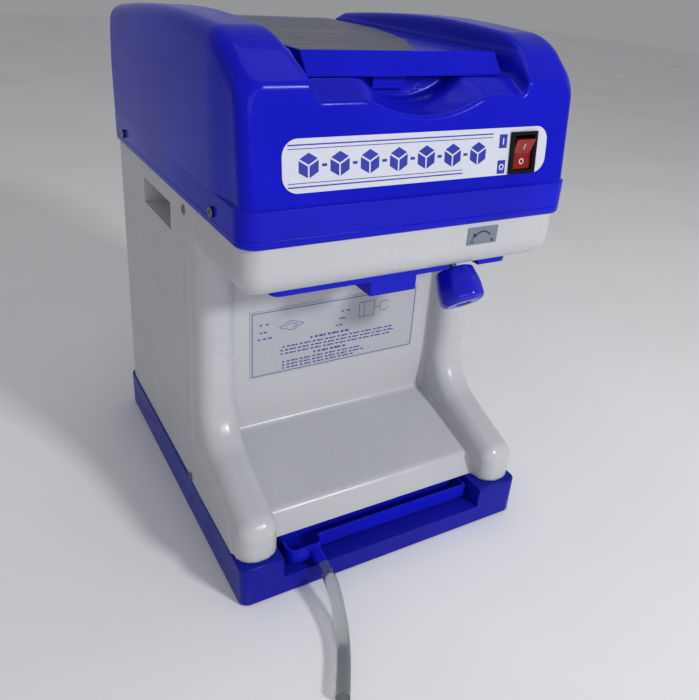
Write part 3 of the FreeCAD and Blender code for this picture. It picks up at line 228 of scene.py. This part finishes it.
def clear_vinyl(name):
    """Soft clear hose: faintly clouded and a little uneven, with a grey tint that is painted shade for the
    darker surroundings seen through it.
    """
    surface = Surface(name, Transmission_Weight=0.92, IOR=1.45, Base_Color=(0.62, 0.64, 0.64, 1))
    cloud = surface.noise(50, 4)
    surface.roughness(surface.ramp(cloud, (0.3, 0.04), (0.75, 0.16)))
    surface.bump((surface.noise(90, 2), 0.2, 0.002))
    return surface.material


def lit_red(name):
    """The rocker's translucent red, a little uneven inside."""
    surface = Surface(name, Subsurface_Weight=0.25, Subsurface_Scale=0.004)
    surface.shader.inputs["Subsurface Radius"].default_value = (1.0, 0.15, 0.1)
    depth = surface.noise(160, 3)
    surface.colour(surface.ramp(depth, (0.3, linear(120, 5, 4)), (0.7, linear(150, 9, 7))))
    surface.roughness(surface.ramp(surface.noise(70, 3), (0.3, 0.16), (0.7, 0.26)))
    surface.bump((surface.noise(500, 2), 0.03, 0.0002))
    return surface.material


BLUE = linear(19, 23, 184)
WHITE = linear(188, 189, 193)
looks = {
    "hood_blue": moulded("hood_blue", BLUE, 0.14, 0.22),
    "base_blue": moulded("base_blue", linear(19, 24, 150), 0.24, 0.36, grain=0.03),
    "casing_white": moulded("casing_white", WHITE, 0.2, 0.3, uneven=0.025, shine=0.3),
    "label_white": printed("label_white", linear(204, 207, 220)),
    "label_grey": printed("label_grey", linear(112, 122, 140)),
    "note_film": printed("note_film", linear(176, 178, 186)),
    "lid_film_painted_reflection": scratched_film_with_painted_reflection("lid_film_painted_reflection"),
    "label_blue": printed("label_blue", linear(30, 38, 160)),
    "note_blue": printed("note_blue", linear(52, 58, 140)),
    "ink_black": printed("ink_black", linear(34, 36, 44)),
    "black_plastic": moulded("black_plastic", linear(20, 20, 22), 0.22, 0.34, uneven=0.2),
    "red_plastic": lit_red("red_plastic"),
    "knob_plastic": moulded("knob_plastic", BLUE, 0.14, 0.22, shine=0.35),
    "chute_plastic": moulded("chute_plastic", linear(26, 31, 186), 0.2, 0.3),
    "plate_plastic": moulded("plate_plastic", linear(22, 27, 180), 0.2, 0.3),
    "funnel_plastic": moulded("funnel_plastic", linear(214, 213, 206), 0.3, 0.45, uneven=0.04),
    "capacitor_grey": moulded("capacitor_grey", linear(120, 122, 124), 0.4, 0.5),
    "hose_clear": clear_vinyl("hose_clear"),
    "rubber_black": rubber("rubber_black", linear(24, 24, 25)),
    "steel": metal("steel", linear(196, 198, 200), 0.28, brush=(1, 0.05, 1)),
    "blade_steel": metal("blade_steel", linear(214, 216, 220), 0.16, brush=(0.05, 1, 1)),
    # Painted shade: the screws' steel is made dark grey to stand for the dark surroundings it reflects.
    "screw_steel": metal("screw_steel", linear(98, 99, 102), 0.1, depth=0.05),
    "aluminium": metal("aluminium", linear(200, 202, 205), 0.32, brush=(1, 1, 0.1)),
    "cast_aluminium": metal("cast_aluminium", linear(160, 162, 165), 0.5, depth=0.5),
    "motor_iron": metal("motor_iron", linear(92, 92, 96), 0.5, brush=(0.02, 0.02, 3), depth=0.4),
    "brass": metal("brass", linear(196, 158, 84), 0.28),
}
for subpart in frame["record"]["subparts"]:
    node = nodes[subpart["node"]]
    node.data.materials.clear()
    node.data.materials.append(looks[subpart["material_slot"]])
nodes["instruction_label"].data.materials[0] = looks["note_film"]

# ---------------------------------------------------------------------------
# Drain hose
# ---------------------------------------------------------------------------

HOSE_ROUTE = (
    (-79.0, -196.0, 28.0),
    (-78.8, -210.5, 24.5),
    (-81.2, -226.5, 18.8),
    (-85.5, -243.5, 12.2),
    (-91.8, -260.5, 7.6),
    (-99.6, -277.0, 6.05),
    (-108.6, -293.0, 6.05),
    (-117.7, -308.3, 6.05),
)
HOSE_ROUND = 6.0


def add_piece(name, data, body="machine", slot=None, replaces=(), smooth=False):
    """Link an object, give it the slot's look, and let it ride on a body."""
    piece = bpy.data.objects.new(name, data)
    bpy.context.scene.collection.objects.link(piece)
    if slot is not None:
        data.materials.append(looks[slot])
    if smooth:
        data.shade_smooth()
    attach(piece, body)
    if replaces:
        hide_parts(*replaces)
    return piece


def add_hose():
    curve = bpy.data.curves.new("hose", "CURVE")
    curve.dimensions = "3D"
    spline = curve.splines.new("NURBS")
    spline.points.add(len(HOSE_ROUTE) - 1)
    for point, spot in zip(spline.points, HOSE_ROUTE):
        point.co = (*(Vector(spot) * MM), 1)
    spline.order_u = 3
    spline.use_endpoint_u = True
    spline.resolution_u = 24
    curve.bevel_depth = HOSE_ROUND * MM
    curve.bevel_resolution = 8
    curve.use_fill_caps = True
    hose = add_piece("hose", curve, slot="hose_clear", replaces=["drain_hose"])


add_hose()

# ---------------------------------------------------------------------------
# Skins grown from fields: a field is negative inside the material
# ---------------------------------------------------------------------------


def round_and(first, second, radius):
    """Where both fields hold, with their edge rounded."""
    a, b = np.maximum(first + radius, 0), np.maximum(second + radius, 0)
    return np.minimum(np.maximum(first, second), -radius) + np.hypot(a, b)


def round_or(first, second, radius):
    """Where either field holds, with the corner between them filled in."""
    return -round_and(-first, -second, radius)


def ease(value, low, high):
    """From 0 below low to 1 above high, smoothly."""
    share = np.clip((value - low) / (high - low), 0, 1)
    return share * share * (3 - 2 * share)


def grow(field, low, high, step):
    """Corners (mm) and quads of the surface where a field is zero: one corner in each cell it crosses."""
    axes = [np.arange(start, stop + step, step) for start, stop in zip(low, high)]
    value = field(*np.meshgrid(*axes, indexing="ij"))
    inside = value < 0
    cells = tuple(count - 1 for count in value.shape)
    total = np.zeros(cells + (3,))
    count = np.zeros(cells)

    def corner(array, bits):
        return array[tuple(slice(bit, bit + size) for bit, size in zip(bits, cells))]

    for axis in range(3):
        others = [other for other in range(3) if other != axis]
        for first in (0, 1):
            for second in (0, 1):
                start = [0, 0, 0]
                start[others[0]], start[others[1]] = first, second
                end = list(start)
                end[axis] = 1
                crossed = corner(inside, start) != corner(inside, end)
                near, far = corner(value, start)[crossed], corner(value, end)[crossed]
                spot = np.tile(np.array(start, float), (len(near), 1))
                spot[:, axis] = near / (near - far)
                total[crossed] += spot
                count[crossed] += 1
    crossed = count > 0
    index = np.full(cells, -1)
    index[crossed] = np.arange(crossed.sum())
    origin = np.stack(np.nonzero(crossed), axis=1)
    spots = (origin + total[crossed] / count[crossed][:, None]) * step + np.array([axis[0] for axis in axes])
    spots = settle(field, spots, step)
    quads = []
    for axis in range(3):
        second, third = (axis + 1) % 3, (axis + 2) % 3
        low_side = np.take(inside, range(value.shape[axis] - 1), axis)
        high_side = np.take(inside, range(1, value.shape[axis]), axis)
        change = np.argwhere(low_side != high_side)
        limits = np.array(cells)
        fits = (change[:, second] > 0) & (change[:, third] > 0)
        fits &= (change[:, second] < limits[second]) & (change[:, third] < limits[third])
        change = change[fits]
        outward = low_side[tuple(change.T)]
        ring = []
        for back_second, back_third in ((1, 1), (0, 1), (0, 0), (1, 0)):
            cell = change.copy()
            cell[:, second] -= back_second
            cell[:, third] -= back_third
            ring.append(index[tuple(cell.T)])
        ring = np.stack(ring, axis=1)
        ring[~outward] = ring[~outward][:, ::-1]
        quads.append(ring)
    return spots, np.concatenate(quads)


PROBE = 0.1


def settle(field, spots, step):
    """Move corners onto the surface along the field's slope, no further than one step."""
    start = spots.copy()
    for _ in range(3):
        value = field(*spots.T)
        change = [field(*(spots + shift).T) - field(*(spots - shift).T) for shift in np.eye(3) * PROBE]
        slope = np.stack(change, axis=1) / (2 * PROBE)
        length = np.maximum((slope ** 2).sum(1), 0.05)
        spots = spots - slope * (value / length)[:, None]
        spots = np.clip(spots, start - step, start + step)
    return spots


def skin(name, field, low, high, step, drop=None, wall=None, **piece):
    """A grown surface as a piece; drop picks faces to leave out, and wall thickens the rest inwards."""
    spots, quads = grow(field, low, high, step)
    if drop is not None:
        quads = quads[~drop(*spots[quads].mean(1).T)]
    mesh = bpy.data.meshes.new(name)
    mesh.vertices.add(len(spots))
    mesh.vertices.foreach_set("co", (spots * MM).ravel())
    mesh.loops.add(quads.size)
    mesh.loops.foreach_set("vertex_index", quads.ravel())
    mesh.polygons.add(len(quads))
    mesh.polygons.foreach_set("loop_start", np.arange(0, quads.size, 4))
    mesh.update(calc_edges=True)
    mesh.validate()
    shape = bmesh.new()
    shape.from_mesh(mesh)
    bmesh.ops.delete(shape, geom=[vertex for vertex in shape.verts if not vertex.link_faces], context="VERTS")
    shape.to_mesh(mesh)
    shape.free()
    made = add_piece(name, mesh, smooth=True, **piece)
    if wall is not None:
        thick = made.modifiers.new("wall", "SOLIDIFY")
        thick.thickness = wall * MM
        thick.offset = -1


# ---------------------------------------------------------------------------
# Hood
# ---------------------------------------------------------------------------

HOOD_HALF = 147.9
SIDE_SWELL, STEP_SWELL = 2.7, 0.35
HOOD_FACE, HOOD_BACK = -179.5, 185.5
FACE_LEAN, BACK_LEAN = 0.1, 0.034
CREST, CREST_Y, CREST_REACH, CREST_DROP = 477.0, -25.0, 155.0, 8.0
CHANNEL_HALF = 95.0
CHANNEL_FLOOR, CHANNEL_BACK, REAR_FLOOR = 443.0, 169.0, 461.0
HOPPER_MOUTH = 52.0
DRUM_Y = -70.0
SCOOP_BACK, SCOOP_LOW, SCOOP_ROUND = -131.0, 426.0, 68.0
BAND_TOP = 362.0
HOOD_CUT = 358.0
HOOD_WALL = 2.7
SWITCH_X, SWITCH_Z = 93.5, 389.0


def hood_front(z):
    """How far forward the hood's leaning face is at a height."""
    return HOOD_FACE + FACE_LEAN * (z - BAND_TOP)


def hood_block(x, y, z):
    """The hood before it is cut into: its sides swell behind the front corners and above the band."""
    across = np.abs(x)
    side = across - HOOD_HALF - (SIDE_SWELL + STEP_SWELL * ease(z, 360, 366)) * ease(y, -168, -118)
    front = (hood_front(z) - y) / 1.005
    upper_back = (35 * (y - 183) + 15 * (z - 430)) / 38.1
    back = round_and(y - HOOD_BACK + BACK_LEAN * (z - HOOD_CUT), upper_back, 20)
    crown = z - (CREST - CREST_DROP * (np.abs(y - CREST_Y) / CREST_REACH) ** 1.7)
    upper_front = (30 * (z - 443.6) - 24 * (y + 171)) / 38.4
    top = round_and(crown, upper_front, 12)
    block = round_and(round_and(side, back, 14), top, 13)
    return round_and(block, front, 2 + 9 * ease(across, 130, 144))


def lid_channel(x, y, z):
    """The space between the shoulders that the lid lies in, open in front and, higher up, at the back."""
    ledge = (CHANNEL_FLOOR + 0.5 * (y + 150) - z) / 1.118
    floor = np.minimum(CHANNEL_FLOOR - z, ledge)
    shoulder = (27 * (np.abs(x) - CHANNEL_HALF) - 5.5 * (z - CHANNEL_FLOOR)) / 27.55
    channel = round_and(round_and(shoulder, floor, 5), y - CHANNEL_BACK, 5)
    rear = round_and(shoulder - 2, REAR_FLOOR - z, 3)
    return np.minimum(channel, rear)


def finger_scoop(x, y, z):
    """A trough under the lid's front edge, wider and deeper towards the hood's face."""
    reach = SCOOP_ROUND + 42 * ease(-y, 148, 174)
    bottom = SCOOP_LOW - 6 * ease(-y, 148, 174)
    arc = bottom + reach - np.sqrt(np.maximum(reach ** 2 - x ** 2, 1))
    return np.maximum(0.85 * (arc - z), y - SCOOP_BACK)


def hood_field(x, y, z):
    edge = 2 + 5 * ease(np.abs(x), 88, 100) * ease(z, 446, 458)
    body = round_and(hood_block(x, y, z), -lid_channel(x, y, z), edge)
    body = round_and(body, -finger_scoop(x, y, z), 3)
    mouth = np.hypot(x, y - DRUM_Y) - HOPPER_MOUTH
    return round_and(np.maximum(body, HOOD_CUT - 2 - z), -mouth, 1.5)


def below_hood(x, y, z):
    """The hood's underside, the tube below the hopper's mouth and the switch's hole, which are left open."""
    tube = (np.hypot(x, y - DRUM_Y) < HOPPER_MOUTH + 2) & (z < CHANNEL_FLOOR - 3)
    hole = (np.abs(x - SWITCH_X) < 11.5) & (np.abs(z - SWITCH_Z) < 14.9) & (y < -160)
    return (z < HOOD_CUT) | tube | hole


HOOD_STEP = 2.0
skin(
    "hood_shell", hood_field, (-153, -184, 354), (153, 189, 481), HOOD_STEP, drop=below_hood, wall=HOOD_WALL,
    slot="hood_blue", replaces=["hood"],
)


def ring(name, half, low_y, high_y, radius, profile, corner_steps=12, **piece):
    """A closed band round a rounded rectangle; profile is (how far out, height) from the inside top round."""
    path = []
    for centre_x, centre_y, start in (
        (half - radius, high_y - radius, 0), (-half + radius, high_y - radius, 90),
        (-half + radius, low_y + radius, 180), (half - radius, low_y + radius, 270),
    ):
        for n in range(corner_steps + 1):
            angle = math.radians(start + 90 * n / corner_steps)
            path.append((centre_x, centre_y, math.cos(angle), math.sin(angle)))
    shape = bmesh.new()
    rows = []
    for x, y, c, s in path:
        spots = [(x + (radius + out) * c, y + (radius + out) * s, z) for out, z in profile]
        rows.append([shape.verts.new(Vector(spot) * MM) for spot in spots])
    count = len(profile)
    for row, after in zip(rows, rows[1:] + rows[:1]):
        for n in range(count):
            m = (n + 1) % count
            shape.faces.new((row[n], after[n], after[m], row[m]))
    bmesh.ops.recalc_face_normals(shape, faces=shape.faces)
    mesh = bpy.data.meshes.new(name)
    shape.to_mesh(mesh)
    shape.free()
    made = add_piece(name, mesh, **piece)
    round_edges(made, 1.0, 3, 30)
    mesh.shade_smooth()


def round_edges(piece, width, segments, angle):
    """Round the edges that turn by more than an angle in degrees, with a modifier."""
    edge = piece.modifiers.new("edges", "BEVEL")
    edge.width = width * MM
    edge.segments = segments
    edge.limit_method = "ANGLE"
    edge.angle_limit = math.radians(angle)
    edge.harden_normals = True


BAND_HALF, BAND_FRONT, BAND_BACK, BAND_ROUND = 151.0, -182.5, 188.5, 16.0
BAND_LOW = 334.5
ring(
    "hood_band", BAND_HALF, BAND_FRONT, BAND_BACK, BAND_ROUND,
    [(-4.6, 364.4), (-3.4, 363.2), (-0.2, BAND_TOP), (0, 341.2), (-0.4, 341), (-0.4, 340.6), (0, 340.4),
     (-0.2, 336), (-1.2, BAND_LOW), (-2.7, BAND_LOW), (-2.9, 358), (-4.6, 361)],
    slot="hood_blue",
)

# ---------------------------------------------------------------------------
# White front casing
# ---------------------------------------------------------------------------

BODY_LOW, BODY_HIGH = 153.5, 147.6
BASE_TOP, BODY_TOP = 44.0, 356.0
SEAM = -46.8
CASING_WALL = 2.4
TOE_FRONT, TOE_BEND_Y, TOE_BEND_Z, TOE_RISE = -183.0, -99.0, 112.0, 0.39
PILLAR_FRONT, BAY_BACK, BAY_HALF = -81.0, -57.0, 114.0
SHELF_BACK, SHELF_RISE = 96.0, 0.305
HEAD_FRONT, HEAD_UNDER = -179.5, 292.0


def front_field(x, y, z):
    """Two legs with toes, the serving bay's wall and its sloping shelf between them, and the head above."""
    half = BODY_LOW - (z - BASE_TOP) * (BODY_LOW - BODY_HIGH) / (BODY_TOP - BASE_TOP)
    side = np.abs(x) - half
    toe_top = (z - TOE_BEND_Z - TOE_RISE * (y - TOE_BEND_Y)) / 1.073
    leg = round_or(PILLAR_FRONT - y, round_and(toe_top, TOE_FRONT - y, 13), 30)
    pillar = round_and(round_and(leg, BAY_HALF - np.abs(x), 16), side, 16)
    shelf_top = (z - SHELF_BACK - SHELF_RISE * (y - BAY_BACK)) / 1.045
    lip = (-17 * (y + 152) + 8 * (z - 67)) / 18.8
    wall = round_or(BAY_BACK - y, round_and(shelf_top, lip, 2.5), 5)
    lower = round_or(pillar, np.maximum(wall, side), 4)
    head = round_and(round_and(HEAD_UNDER - z, HEAD_FRONT - y, 22), side, 18)
    return round_or(lower, head, 5)


def behind_front(x, y, z):
    """The casing's open back, top and foot, and the opening under its head."""
    under = (np.abs(x) < 100) & (y > -155) & (y < -84) & (np.abs(z - HEAD_UNDER) < 2)
    return (z > BODY_TOP - 1) | (z < BASE_TOP + 0.6) | (y > SEAM - 0.35) | under


def casing_limits(x, y, z):
    return np.maximum(np.maximum(front_field(x, y, z), y - SEAM), np.maximum(BASE_TOP - z, z - BODY_TOP))


FRONT_STEP = 2.0
skin(
    "front_shell", casing_limits, (-156, -186, 41), (156, -43, 359), FRONT_STEP, drop=behind_front,
    wall=CASING_WALL, slot="casing_white", replaces=["front_casing"],
)

# ---------------------------------------------------------------------------
# Knob
# ---------------------------------------------------------------------------

KNOB_SPOT = (66.5, -144.8, 277.4)
KNOB_TILT = math.radians(40)
KNOB_LONG = 32.5
KNOB_NECK, KNOB_FLARE = 16.6, 3.3
DISH_ROUND, DISH_OUT = 9.5, 6.0
FACETS, FACET_EDGE = 8, 16
KNOB_STEP = 0.9


def knob_field(x, y, z):
    """A barrel with soft facets; its axis runs forwards and down from the adjuster's seat."""
    dx, dy, dz = x - KNOB_SPOT[0], y - KNOB_SPOT[1], z - KNOB_SPOT[2]
    along = -math.sin(KNOB_TILT) * dy - math.cos(KNOB_TILT) * dz
    across = -math.cos(KNOB_TILT) * dy + math.sin(KNOB_TILT) * dz
    around = 0
    for n in range(FACETS):
        angle = 2 * math.pi * (n + 0.5) / FACETS
        around = around + np.maximum(dx * math.cos(angle) + across * math.sin(angle), 0) ** FACET_EDGE
    girth = np.maximum(around, 1e-9) ** (1 / FACET_EDGE)
    reach = KNOB_NECK + KNOB_FLARE * ease(along, -4, 20)
    outside = round_and(round_and(girth - reach, along - KNOB_LONG, 6), -along, 3)
    dish = DISH_ROUND - np.sqrt(dx ** 2 + across ** 2 + (along - KNOB_LONG - DISH_OUT) ** 2)
    return round_and(outside, dish, 1)


skin(
    "knob", knob_field, (43, -190, 232), (90, -124, 298), KNOB_STEP, body="adjuster", slot="knob_plastic",
    replaces=["adjuster_knob"],
)

# ---------------------------------------------------------------------------
# CAD nodes whose edges are rounded by modifiers, which leave their own meshes as they are
# ---------------------------------------------------------------------------


for name, width in (
    ("lid", 1.3), ("rear_casing", 1.0), ("base_tray", 0.8), ("drain_gutter", 0.5), ("bottom_plate", 0.6),
    ("ice_chute", 0.6), ("switch_housing", 0.5), ("rocker", 0.7), ("front_label", 0.2), ("hood_screws", 0.6),
    ("casing_screws", 0.6), ("power_inlet", 0.8), ("rubber_feet", 0.5),
):
    weld = nodes[name].modifiers.new("weld", "WELD")
    weld.merge_threshold = 0.00001
    round_edges(nodes[name], width, 2, 32)

# ---------------------------------------------------------------------------
# Printed marks, and the lid's film with a painted reflection: flat outlines raised a little above their
# surface
# ---------------------------------------------------------------------------

RIGHT, UP = (1, 0, 0), (0, 0, 1)
FACE_RISE = Vector((0, 0.0995, 0.99504))
FACE_OUT = Vector((0, -0.99504, 0.0995))
INK = 0.12


def marks(name, outlines, spot, right, rise, slot, body="machine"):
    """Closed outlines of (u, v) corners as thin prisms that stand on a plane."""
    spot, right, rise = Vector(spot), Vector(right), Vector(rise)
    out = right.cross(rise)
    shape = bmesh.new()
    for outline in outlines:
        foot = [spot + right * u + rise * v for u, v in outline]
        low = [shape.verts.new(place * MM) for place in foot]
        top = [shape.verts.new((place + out * INK) * MM) for place in foot]
        shape.faces.new(top)
        shape.faces.new(low[::-1])
        for n in range(len(foot)):
            m = (n + 1) % len(foot)
            shape.faces.new((low[n], low[m], top[m], top[n]))
    bmesh.ops.recalc_face_normals(shape, faces=shape.faces)
    mesh = bpy.data.meshes.new(name)
    shape.to_mesh(mesh)
    shape.free()
    add_piece(name, mesh, body=body, slot=slot)


def bar(low_u, high_u, low_v, high_v):
    return [(low_u, low_v), (high_u, low_v), (high_u, high_v), (low_u, high_v)]


def stroke(start, end, wide):
    """A straight line of some width between two points."""
    run = Vector(end) - Vector(start)
    side = Vector((-run.y, run.x)).normalized() * wide / 2
    first, second = Vector(start), Vector(end)
    return [tuple(first - side), tuple(second - side), tuple(second + side), tuple(first + side)]


def sweep(u, v, inner, outer, start, end, steps=16):
    """A band of a circle between two angles in degrees, as outlines that share edges."""
    bands = []
    for n in range(steps):
        low, high = (math.radians(start + (end - start) * k / steps) for k in (n, n + 1))
        bands.append([(u + r * math.cos(a), v + r * math.sin(a))
                      for r, a in ((inner, low), (outer, low), (outer, high), (inner, high))])
    return bands


def outline_box(low_u, high_u, low_v, high_v, wide):
    return [bar(low_u, high_u, low_v, low_v + wide), bar(low_u, high_u, high_v - wide, high_v),
            bar(low_u, low_u + wide, low_v + wide, high_v - wide),
            bar(high_u - wide, high_u, low_v + wide, high_v - wide)]


def cube_sign(u, v, reach, wide):
    """An ice cube seen from a corner: three lozenges with gaps between them."""
    corners = [(math.cos(math.radians(90 + 60 * n)), math.sin(math.radians(90 + 60 * n))) for n in range(6)]
    signs = []
    for first, second, third in ((0, 1, 5), (2, 1, 3), (4, 3, 5)):
        lozenge = [(0, 0), corners[second], corners[first], corners[third]]
        mid_u, mid_v = (sum(corner[axis] for corner in lozenge) / 4 for axis in (0, 1))
        signs.append([(u + reach * (mid_u + (a - mid_u) * wide), v + reach * (mid_v + (b - mid_v) * wide))
                      for a, b in lozenge])
    return signs


def face_spot(x, z, out=0.8):
    """A place on the hood's face, and some millimetres out of it."""
    return Vector((x, hood_front(z), z)) + FACE_OUT * out


LABEL_Z = 390.5
SIGN_PITCH = 24.5
lines = []
for low, high, end in ((13.8, 14.7, 62), (11.4, 11.9, 62), (-11.9, -11.4, 34), (-14.7, -13.8, 34)):
    lines.append(bar(-114.8, end, low, high))
motif = []
for n in range(7):
    motif += cube_sign(-99 + SIGN_PITCH * n, 0, 9.6, 0.84)
for n in range(6):
    motif.append(bar(-88.7 + SIGN_PITCH * n, -84.8 + SIGN_PITCH * n, -1.0, 1.0))
marks("label_lines", lines + motif, face_spot(0, LABEL_Z), RIGHT, FACE_RISE, "label_blue")

NOTE_THICK = 0.5
HEADING_ROWS = (184, 166.8)
notes = outline_box(-92, 92, 152.5, 221, 0.7)
for low_v, spans in (
    (207, ((-84, -72), (4, 16))), (199, ((-84, -76), (2, 8))), (192, ((-86, -70), (-2, 6))),
    (184, ((-30, 14),)), (179.4, ((-60, 66),)), (175.6, ((-62, 70),)), (171.8, ((-62, 64),)),
    (166.8, ((-26, 12),)), (162.6, ((-60, 30),)), (159, ((-60, 34),)), (155.6, ((-60, 22),)),
):
    for start, end in spans:
        count = max(2, int((end - start) / 4.6))
        for n in range(count):
            left = start + n * (end - start) / count
            tall = 2.2 if low_v in HEADING_ROWS else 1.5
            notes.append(bar(left, left + 2.3 + 0.9 * ((n * 7) % 3), low_v, low_v + tall))
notes += [stroke(a, b, 0.5) for a, b in (
    ((-64, 202), (-52, 208)), ((-52, 208), (-38, 203)), ((-38, 203), (-50, 197)), ((-50, 197), (-64, 202)),
    ((-58, 202), (-51, 205)), ((-51, 205), (-44, 202.5)), ((-44, 202.5), (-50, 199.6)),
)]
notes += outline_box(24, 42, 197, 214, 0.5) + sweep(54, 206, 5.4, 5.9, 20, 340)
notes += [stroke((42, 205), (48, 206), 0.5), stroke((30, 197), (30, 214), 0.5)]
marks("notes", notes, (0, BAY_BACK - NOTE_THICK, 0), RIGHT, UP, "note_blue")

LID_TOP = 460.0
# The patch on the lid is partly a film and partly a painted grey reflection.
FILM_WITH_REFLECTION = (
    (-85, -131), (6, -131.5), (12, -123), (18, -117), (33, -88), (52, -55), (67, -8), (85, 58), (85, 148),
    (-85, 148),
)
marks("lid_film_painted_reflection", [FILM_WITH_REFLECTION], (0, 0, LID_TOP), RIGHT, (0, 1, 0), "lid_film_painted_reflection", body="lid")

DIAL = (63.5, HEAD_FRONT - 0.6, 322.5)
dial = sweep(0, -6.5, 9.4, 10.7, 38, 142) + [[(-10.6, -2.2), (-6.6, 0.6), (-9.4, 3.2)]]
dial += [bar(-12.5, -10.9, -5.6, -4.6), bar(-10.2, -8.9, -5.9, -4.2), bar(-11.5, -10.3, -3.4, -2.4)]
dial += sweep(10.6, -4.9, 0.5, 1.5, 0, 360, 10)
marks("dial_marks", dial, DIAL, RIGHT, UP, "ink_black")

SIGN_X, SIGN_OUT = 72.5, 1.2
for name, outlines, height in (
    ("on_sign", [bar(-0.55, 0.55, -2.6, 2.6)], 398.7),
    ("off_sign", sweep(0, 0, 1.5, 2.5, 0, 360, 20), 378.7),
):
    marks(name, outlines, face_spot(SIGN_X, height, SIGN_OUT), RIGHT, FACE_RISE, "label_white")

PIVOT_DEEP = -4.0
ROCKER_LEAN = math.radians(11)


def rocker_place(v, n):
    """A point of the rocker's section: v up the face and n out of it before the rocker leans."""
    n -= PIVOT_DEEP
    turned_v = v * math.cos(ROCKER_LEAN) - n * math.sin(ROCKER_LEAN)
    turned_n = v * math.sin(ROCKER_LEAN) + n * math.cos(ROCKER_LEAN) + PIVOT_DEEP
    return face_spot(SWITCH_X, SWITCH_Z, 0) + FACE_RISE * turned_v + FACE_OUT * turned_n


for name, outlines, low, high in (
    ("off_mark", sweep(0, 0, 1.6, 2.4, 0, 360, 24), (-12.2, 3.2), (0, 0.9)),
    ("on_mark", [bar(-0.4, 0.4, -2.3, 2.3)], (0, 0.9), (12.2, 3.2)),
):
    start, end = rocker_place(*low), rocker_place(*high)
    rise = (end - start).normalized()
    marks(name, outlines, (start + end) / 2, RIGHT, rise, "label_white", body="switch_rocker")

# ---------------------------------------------------------------------------
# Floor and light
# ---------------------------------------------------------------------------


def add_floor():
    surface = Surface("floor", Roughness=0.6, Specular_IOR_Level=0.2)
    shade = surface.noise(3, 4)
    surface.colour(surface.ramp(shade, (0.3, linear(244, 244, 245)), (0.7, linear(250, 250, 251))))
    shape = bmesh.new()
    bmesh.ops.create_grid(shape, x_segments=8, y_segments=8, size=6)
    mesh = bpy.data.meshes.new("floor")
    shape.to_mesh(mesh)
    shape.free()
    mesh.materials.append(surface.material)
    floor = bpy.data.objects.new("floor", mesh)
    bpy.context.scene.collection.objects.link(floor)


def add_light(name, spot, size, power, target=(0, 0, 0.25)):
    data = bpy.data.lights.new(name, "AREA")
    data.shape = "RECTANGLE"
    data.size, data.size_y = size
    data.energy = power
    light = bpy.data.objects.new(name, data)
    bpy.context.scene.collection.objects.link(light)
    light.location = spot
    light.rotation_euler = (Vector(target) - Vector(spot)).to_track_quat("-Z", "Y").to_euler()


add_floor()
add_light("key", (0.75, -1.9, 1.25), (0.32, 0.26), 25)
add_light("front_fill", (-0.7, -2.2, 0.9), (1.4, 1.0), 7)
add_light("left_fill", (-2.2, 0.2, 1.3), (1.4, 1.2), 0.6)
add_light("top", (0.3, -0.2, 2.6), (1.6, 1.2), 6)
world = bpy.data.worlds.new("world")
world.use_nodes = True
world.node_tree.nodes["Background"].inputs["Color"].default_value = (0.96, 0.97, 1.0, 1)
world.node_tree.nodes["Background"].inputs["Strength"].default_value = 0.31
scene = bpy.context.scene
scene.world = world
scene.view_settings.view_transform = "Standard"
